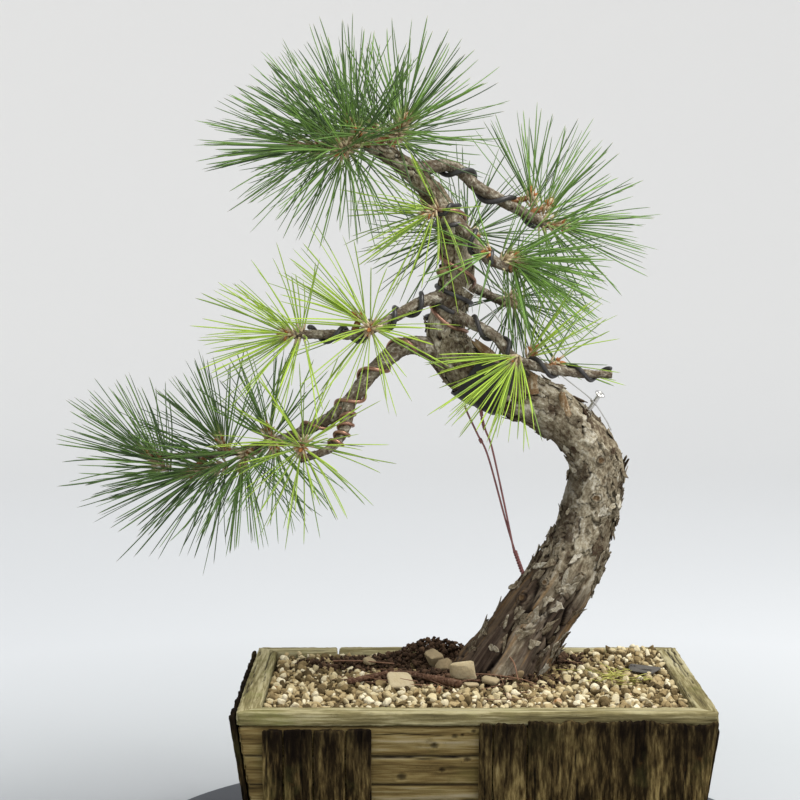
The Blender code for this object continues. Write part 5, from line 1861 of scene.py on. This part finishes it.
BED_BELOW_GRAVEL = 0.0050
soil_points, soil_quads, _ = dense_copy("soil", 0.0025)
soil_top = ease(soil_points[:, 2], 0.110, 0.122)
bed_lumps = 0.0012 * smooth_noise(soil_points, 0.006, 2) + 0.0008 * smooth_noise(soil_points, 0.003, 3)
soil_points[:, 2] += soil_top * (bed_lumps - BED_BELOW_GRAVEL)
soil_mesh = mesh_of("earth_bed", soil_points, soil_quads)
mark(soil_mesh, tint=0.35 + 0.2 * smooth_noise(soil_points, 0.004, 4))
add_piece("earth_bed", soil_mesh, EARTH, "pumice", "soil")

# %% stones
def ball(level):
    """(points, faces) of a unit ball of near-even triangles."""
    shape = bmesh.new()
    bmesh.ops.create_icosphere(shape, subdivisions=level, radius=1.0)
    points = np.array([vert.co for vert in shape.verts])
    faces = np.array([[vert.index for vert in face.verts] for face in shape.faces])
    shape.free()
    return points, faces


def random_turn(random):
    """A random rotation, as a matrix."""
    matrix, _ = np.linalg.qr(random.normal(0, 1, (3, 3)))
    return matrix * np.sign(np.linalg.det(matrix))


def stone(centre, radius, level, tint, random, cuts=10, stretch=0.34, rough=0.10):
    """(points, faces, marks) of one broken stone."""
    points, faces = BALLS[level]
    points = points.copy()
    for _ in range(cuts):
        way = unit(random.normal(0, 1, 3))
        over = np.clip(points @ way - random.uniform(0.42, 0.80), 0, None)
        points -= np.outer(over * 0.96, way)
    for share, cell, seed in ((1.0, 0.42, 1), (0.5, 0.18, 2)):
        lumps = smooth_noise(points + random.uniform(0, 50, 3), cell, seed)
        points += points * (rough * share * lumps)[:, None]
    shape = 1 + random.uniform(-stretch, stretch, 3)
    turned = (points * shape) @ random_turn(random).T
    return centre + turned * radius, faces, {"tint": np.full(len(points), tint)}


BALLS = {level: ball(level) for level in (1, 2, 3)}
SOIL_HALF = (0.1710, 0.1185)
# Where the trunk stands: x, y and radius
TRUNK_FOOT = (0.0270, 0.030, 0.0375)
THROWS = 14
CELL = 0.012


def thrown_down(count, sizes, closeness, seed):
    """Places (x, y, radius) for stones, each kept only if it has room among those already down."""
    random = np.random.default_rng(seed)
    boxes = {}
    kept = []
    for radius in sorted(random.uniform(0, 1, count) ** 1.6 * (sizes[1] - sizes[0]) + sizes[0])[::-1]:
        for _ in range(THROWS):
            x = random.uniform(-SOIL_HALF[0] + radius * 0.7, SOIL_HALF[0] - radius * 0.7)
            y = random.uniform(-SOIL_HALF[1] + radius * 0.7, SOIL_HALF[1] - radius * 0.7)
            if math.hypot(x - TRUNK_FOOT[0], y - TRUNK_FOOT[1]) < TRUNK_FOOT[2]:
                continue
            i, j = int(x // CELL), int(y // CELL)
            near = [spot for a in (-1, 0, 1) for b in (-1, 0, 1) for spot in boxes.get((i + a, j + b), ())]
            if all((x - u) ** 2 + (y - v) ** 2 > (closeness * (radius + r)) ** 2 for u, v, r in near):
                boxes.setdefault((i, j), []).append((x, y, radius))
                kept.append((x, y, radius))
                break
    return kept


lower_layer = thrown_down(2600, (0.0015, 0.0046), 0.84, 5)
upper_layer = thrown_down(1500, (0.0013, 0.0045), 1.20, 6)
print("stones:", len(lower_layer), "below and", len(upper_layer), "on top")

# %% gravel pieces
random = np.random.default_rng(12)


def stone_tint():
    """Mostly cream, some tan, few grey-brown and very few rusty."""
    pick = random.uniform()
    if pick < 0.13:
        return random.uniform(0.0, 0.16)
    if pick < 0.36:
        return random.uniform(0.16, 0.42)
    if pick < 0.985:
        return random.uniform(0.42, 0.90)
    return random.uniform(1.0, 1.1)


# Where dark earth lies over the gravel: how much, x, y, and how far it reaches along x and y
HUMUS = (
    (1.3, -0.026, 0.090, 0.048, 0.052), (0.75, -0.110, 0.078, 0.040, 0.028),
    (0.75, 0.080, 0.085, 0.022, 0.035), (0.7, 0.020, -0.004, 0.055, 0.026), (0.8, -0.050, 0.004, 0.045, 0.022),
)


def in_humus(x, y):
    """How much dark earth lies over the gravel here, from 0 to 1."""
    heaps = (
        much * math.exp(-(((x - u) / wide) ** 2) - (((y - v) / deep) ** 2))
        for much, u, v, wide, deep in HUMUS
    )
    return min(1.0, sum(heaps))


stones = []
for layer, depth in ((lower_layer, 0.0042), (upper_layer, 0.0016)):
    for x, y, radius in layer:
        buried = in_humus(x, y)
        if depth < 0.003 and random.uniform() < buried * 0.9:
            continue
        z = soil_height(x, y) - depth + radius * 0.30 + random.uniform(-0.0006, 0.0006) - 0.002 * buried
        level = 3 if radius > 0.0036 and y < 0.0 else 2
        # Painted shade: the stones of the lower layer, down in the gaps, are made darker
        gap_shade = 0.62 if depth > 0.003 else 1.0
        tint = stone_tint() * gap_shade * (1 - 0.55 * buried * random.uniform(0.3, 1.0))
        stones.append(stone(np.array((x, y, z)), radius, level, tint, random))
# The stones are shared out among pieces of no more faces than this
GROUP_FACES = 150000
group, groups, faces_so_far = [], [], 0
for each in stones:
    if faces_so_far + len(each[1]) > GROUP_FACES:
        groups.append(group)
        group, faces_so_far = [], 0
    group.append(each)
    faces_so_far += len(each[1])
groups.append(group)
for index, group in enumerate(groups):
    piece_from(f"gravel_{index + 1}", group, PUMICE, "pumice", "soil")

# %% [markdown]
# ## What lies on the gravel
#
# Crumbs of black earth, a fallen root, pale chips of bark, a grey flake, dead needles and a few tufts
# of yellow moss. Small things like these make the ground believable. The crumbs are the same broken
# stones, small and dark, thrown where the earth was turned over.

# %% earth crumbs
CRUMB_THROWS, MOST_CRUMBS = 12000, 4200
random = np.random.default_rng(15)
crumbs = []
for _ in range(CRUMB_THROWS):
    x, y = random.uniform(-0.166, 0.166), random.uniform(-0.114, 0.114)
    share = in_humus(x, y)
    if random.uniform() > share * 1.15 - 0.05 or len(crumbs) > MOST_CRUMBS:
        continue
    if math.hypot(x - TRUNK_FOOT[0], y - TRUNK_FOOT[1]) < TRUNK_FOOT[2] - 0.003:
        continue
    radius = random.uniform(0.0006, 0.0024) * (0.8 + 0.5 * share)
    heap = 0.0135 * math.exp(-(((x + 0.030) / 0.028) ** 2) - (((y - 0.090) / 0.026) ** 2))
    pile = (share**1.5 * 0.0075 + heap) * random.uniform(0.0, 1.0)
    place = np.array((x, y, soil_height(x, y) - 0.0016 + pile))
    crumbs.append(stone(place, radius, 1, random.uniform(0.05, 0.75), random, 3, 0.35, 0.22))
piece_from("earth_crumbs", crumbs, EARTH, "pumice", "soil")

# %% fallen root
ROOT_MM = ((-104, -24), (-88, -6), (-72, 5), (-55, 2), (-38, -14), (-12, -42))


def laid(points_mm, radius_mm, lift_mm):
    """A path lying on the gravel through these places, with a radius that thins towards its tip."""
    rows = []
    for index, (x, y) in enumerate(points_mm):
        thin = radius_mm * (0.72 + 0.28 * index / (len(points_mm) - 1))
        rows.append((x, y, float(soil_height(x * MM, y * MM)) / MM + thin + lift_mm, thin))
    return smooth_path(rows, 0.8)


# The root and its side roots: places, radius and lift, all in millimetres
ROOTS_MM = (
    (ROOT_MM, 3.3, 1.0),
    (((-60, 3), (-48, 12), (-34, 16), (-22, 26)), 1.6, 1.5),
    (((-38, -14), (-30, -6), (-18, -4), (-6, -8)), 1.9, 1.2),
    (((-24, -28), (-14, -30), (-4, -24), (6, -26)), 1.2, 1.6),
)
root_shapes = []
for index, root in enumerate(ROOTS_MM):
    points, quads, triangles, marks = wood_tube(laid(*root), 20, 0.0032, 0.0009, 700 + index, 0.0)
    root_shapes.append((points, all_triangles(quads, triangles), marks))
ROOT_BARK = bark_finish(
    "root_bark", rgb(0.17, 0.095, 0.060), rgb(0.075, 0.040, 0.026), rgb(0.10, 0.048, 0.030),
    rgb(0.020, 0.011, 0.008), 520.0, 0.15,
)
piece_from("dry_root", root_shapes, ROOT_BARK, "root", "fallen_root")

# %% chips and flakes on the ground
def slab(centre_mm, half_mm, turn_deg, tint, seed, level=3):
    """(points, faces, marks) of a flat broken piece of bark or stone."""
    random = np.random.default_rng(seed)
    points, faces = BALLS[level]
    square = np.sign(points) * np.abs(points) ** 0.30
    square = square / np.abs(square).max(axis=0)
    for much, cell, first in ((0.13, 0.6, seed), (0.06, 0.22, seed + 9)):
        square += much * np.stack([smooth_noise(points + k, cell, first + k) for k in range(3)], axis=1)
    for _ in range(5):
        cut = unit(random.normal(0, 1, 3) * (1, 1, 0.5))
        square -= np.outer(np.clip(square @ cut - random.uniform(0.75, 1.15), 0, None), cut)
    turned = square * np.array(half_mm) * MM
    for (a, b), angle in zip(((1, 2), (2, 0), (0, 1)), np.radians(turn_deg)):
        c, s = math.cos(angle), math.sin(angle)
        first = turned[:, a] * c - turned[:, b] * s
        second = turned[:, a] * s + turned[:, b] * c
        turned[:, a], turned[:, b] = first, second
    x, y, lift = centre_mm
    centre = np.array((x * MM, y * MM, float(soil_height(x * MM, y * MM)) + lift * MM))
    return centre + turned, faces, {"tint": np.full(len(points), tint)}


main_chip = [slab((-8.5, -20, 9.5), (10.5, 2.4, 9.0), (14, -8, 3), 0.60, 3)]
piece_from("pale_bark_chip", main_chip, CHIP, "bark_chip", "bark_chip")
chips = [
    slab((-62, -22, 3.5), (12.5, 8.0, 3.0), (38, 8, 25), 0.66, 4),
    slab((-30, 44, 7.0), (5.5, 10.0, 8.0), (15, -30, 20), 0.30, 5),
    slab((-24, 22, 6.0), (4.5, 7.0, 6.0), (-20, 35, 50), 0.22, 6, 2),
    slab((14, -26, 3.0), (8.0, 4.0, 2.0), (18, 5, -30), 0.42, 7, 2),
    slab((-2, -38, 2.6), (7.0, 3.5, 1.6), (12, 4, 40), 0.50, 8, 2),
    slab((-88, 62, 3.4), (7.0, 5.0, 3.0), (24, 4, 70), 0.35, 9, 2),
    slab((38, -22, 4.0), (3.0, 3.0, 7.0), (10, 22, 0), 0.10, 10, 2),
]
piece_from("bark_chips", chips, CHIP, "bark_chip")
grey_flake = [slab((150, 30, 3.4), (13.0, 9.0, 1.1), (8, 3, -20), 0.5, 11)]
piece_from("grey_flake", grey_flake, SLATE, "pumice")

# %% fallen twigs and needles
twig_lines = (
    (((-21, 99), (10, 75), (32, -4), (38, -30)), 0.6, (5, 13, 17, 4)),
    (((-8, -6), (14, -18), (40, -30), (52, -40)), 0.5, (4, 6, 5, 3)),
    (((-120, 70), (-98, 60), (-80, 52), (-66, 50)), 0.6, (3, 5, 5, 4)),
)
fallen = []
for line, thick, lifts in twig_lines:
    rows = [
        (x, y, float(soil_height(x * MM, y * MM)) / MM + lift, thick) for (x, y), lift in zip(line, lifts)
    ]
    points, quads, triangles = round_tube(smooth_path(rows, 1.5), 8)
    fallen.append((points, all_triangles(quads, triangles), {"tint": np.full(len(points), 0.25)}))
piece_from("fallen_twigs", fallen, DRY_NEEDLE, "root")


def scattered_needles(count, middle_mm, spread_mm, long_mm, radius_mm, seed, steep=0.10):
    """Needle rows lying every way on the gravel."""
    random = np.random.default_rng(seed)
    x = (middle_mm[0] + random.normal(0, spread_mm[0], count)) * MM
    y = (middle_mm[1] + random.normal(0, spread_mm[1], count)) * MM
    x, y = np.clip(x, -0.145, 0.145), np.clip(y, -0.095, 0.095)
    start = np.stack([x, y, soil_height(x, y) + random.uniform(0.001, 0.004, count)], axis=1)
    heading = random.uniform(0, 2 * np.pi, count)
    rise = random.normal(0.05, steep, count)
    direction = unit(np.stack([np.cos(heading), 0.6 * np.sin(heading), rise], axis=1))
    bend = random.normal(0, 0.10, (count, 3)) * (1, 1, 0.4)
    length = random.uniform(*long_mm, count) * MM
    return start, direction, bend, length, np.full(count, radius_mm * MM), random.normal(0, 1, (count, 3))


for name, rows, finish in (
    ("fallen_needles", scattered_needles(38, (-10, 10), (60, 50), (16, 46), 0.42, 31), DRY_NEEDLE),
    ("green_bits", scattered_needles(46, (122, 0), (16, 12), (8, 24), 0.45, 32, 0.2), MOSSY),
):
    points, quads, triangles, *_ = needle_bundle(*rows)
    bits_mesh = mesh_of(name, points, quads, triangles)
    tint = np.random.default_rng(3).uniform(0, 1, len(rows[0]))
    mark(bits_mesh, tint=np.repeat(tint, len(points) // len(tint)))
    add_piece(name, bits_mesh, finish, "root")
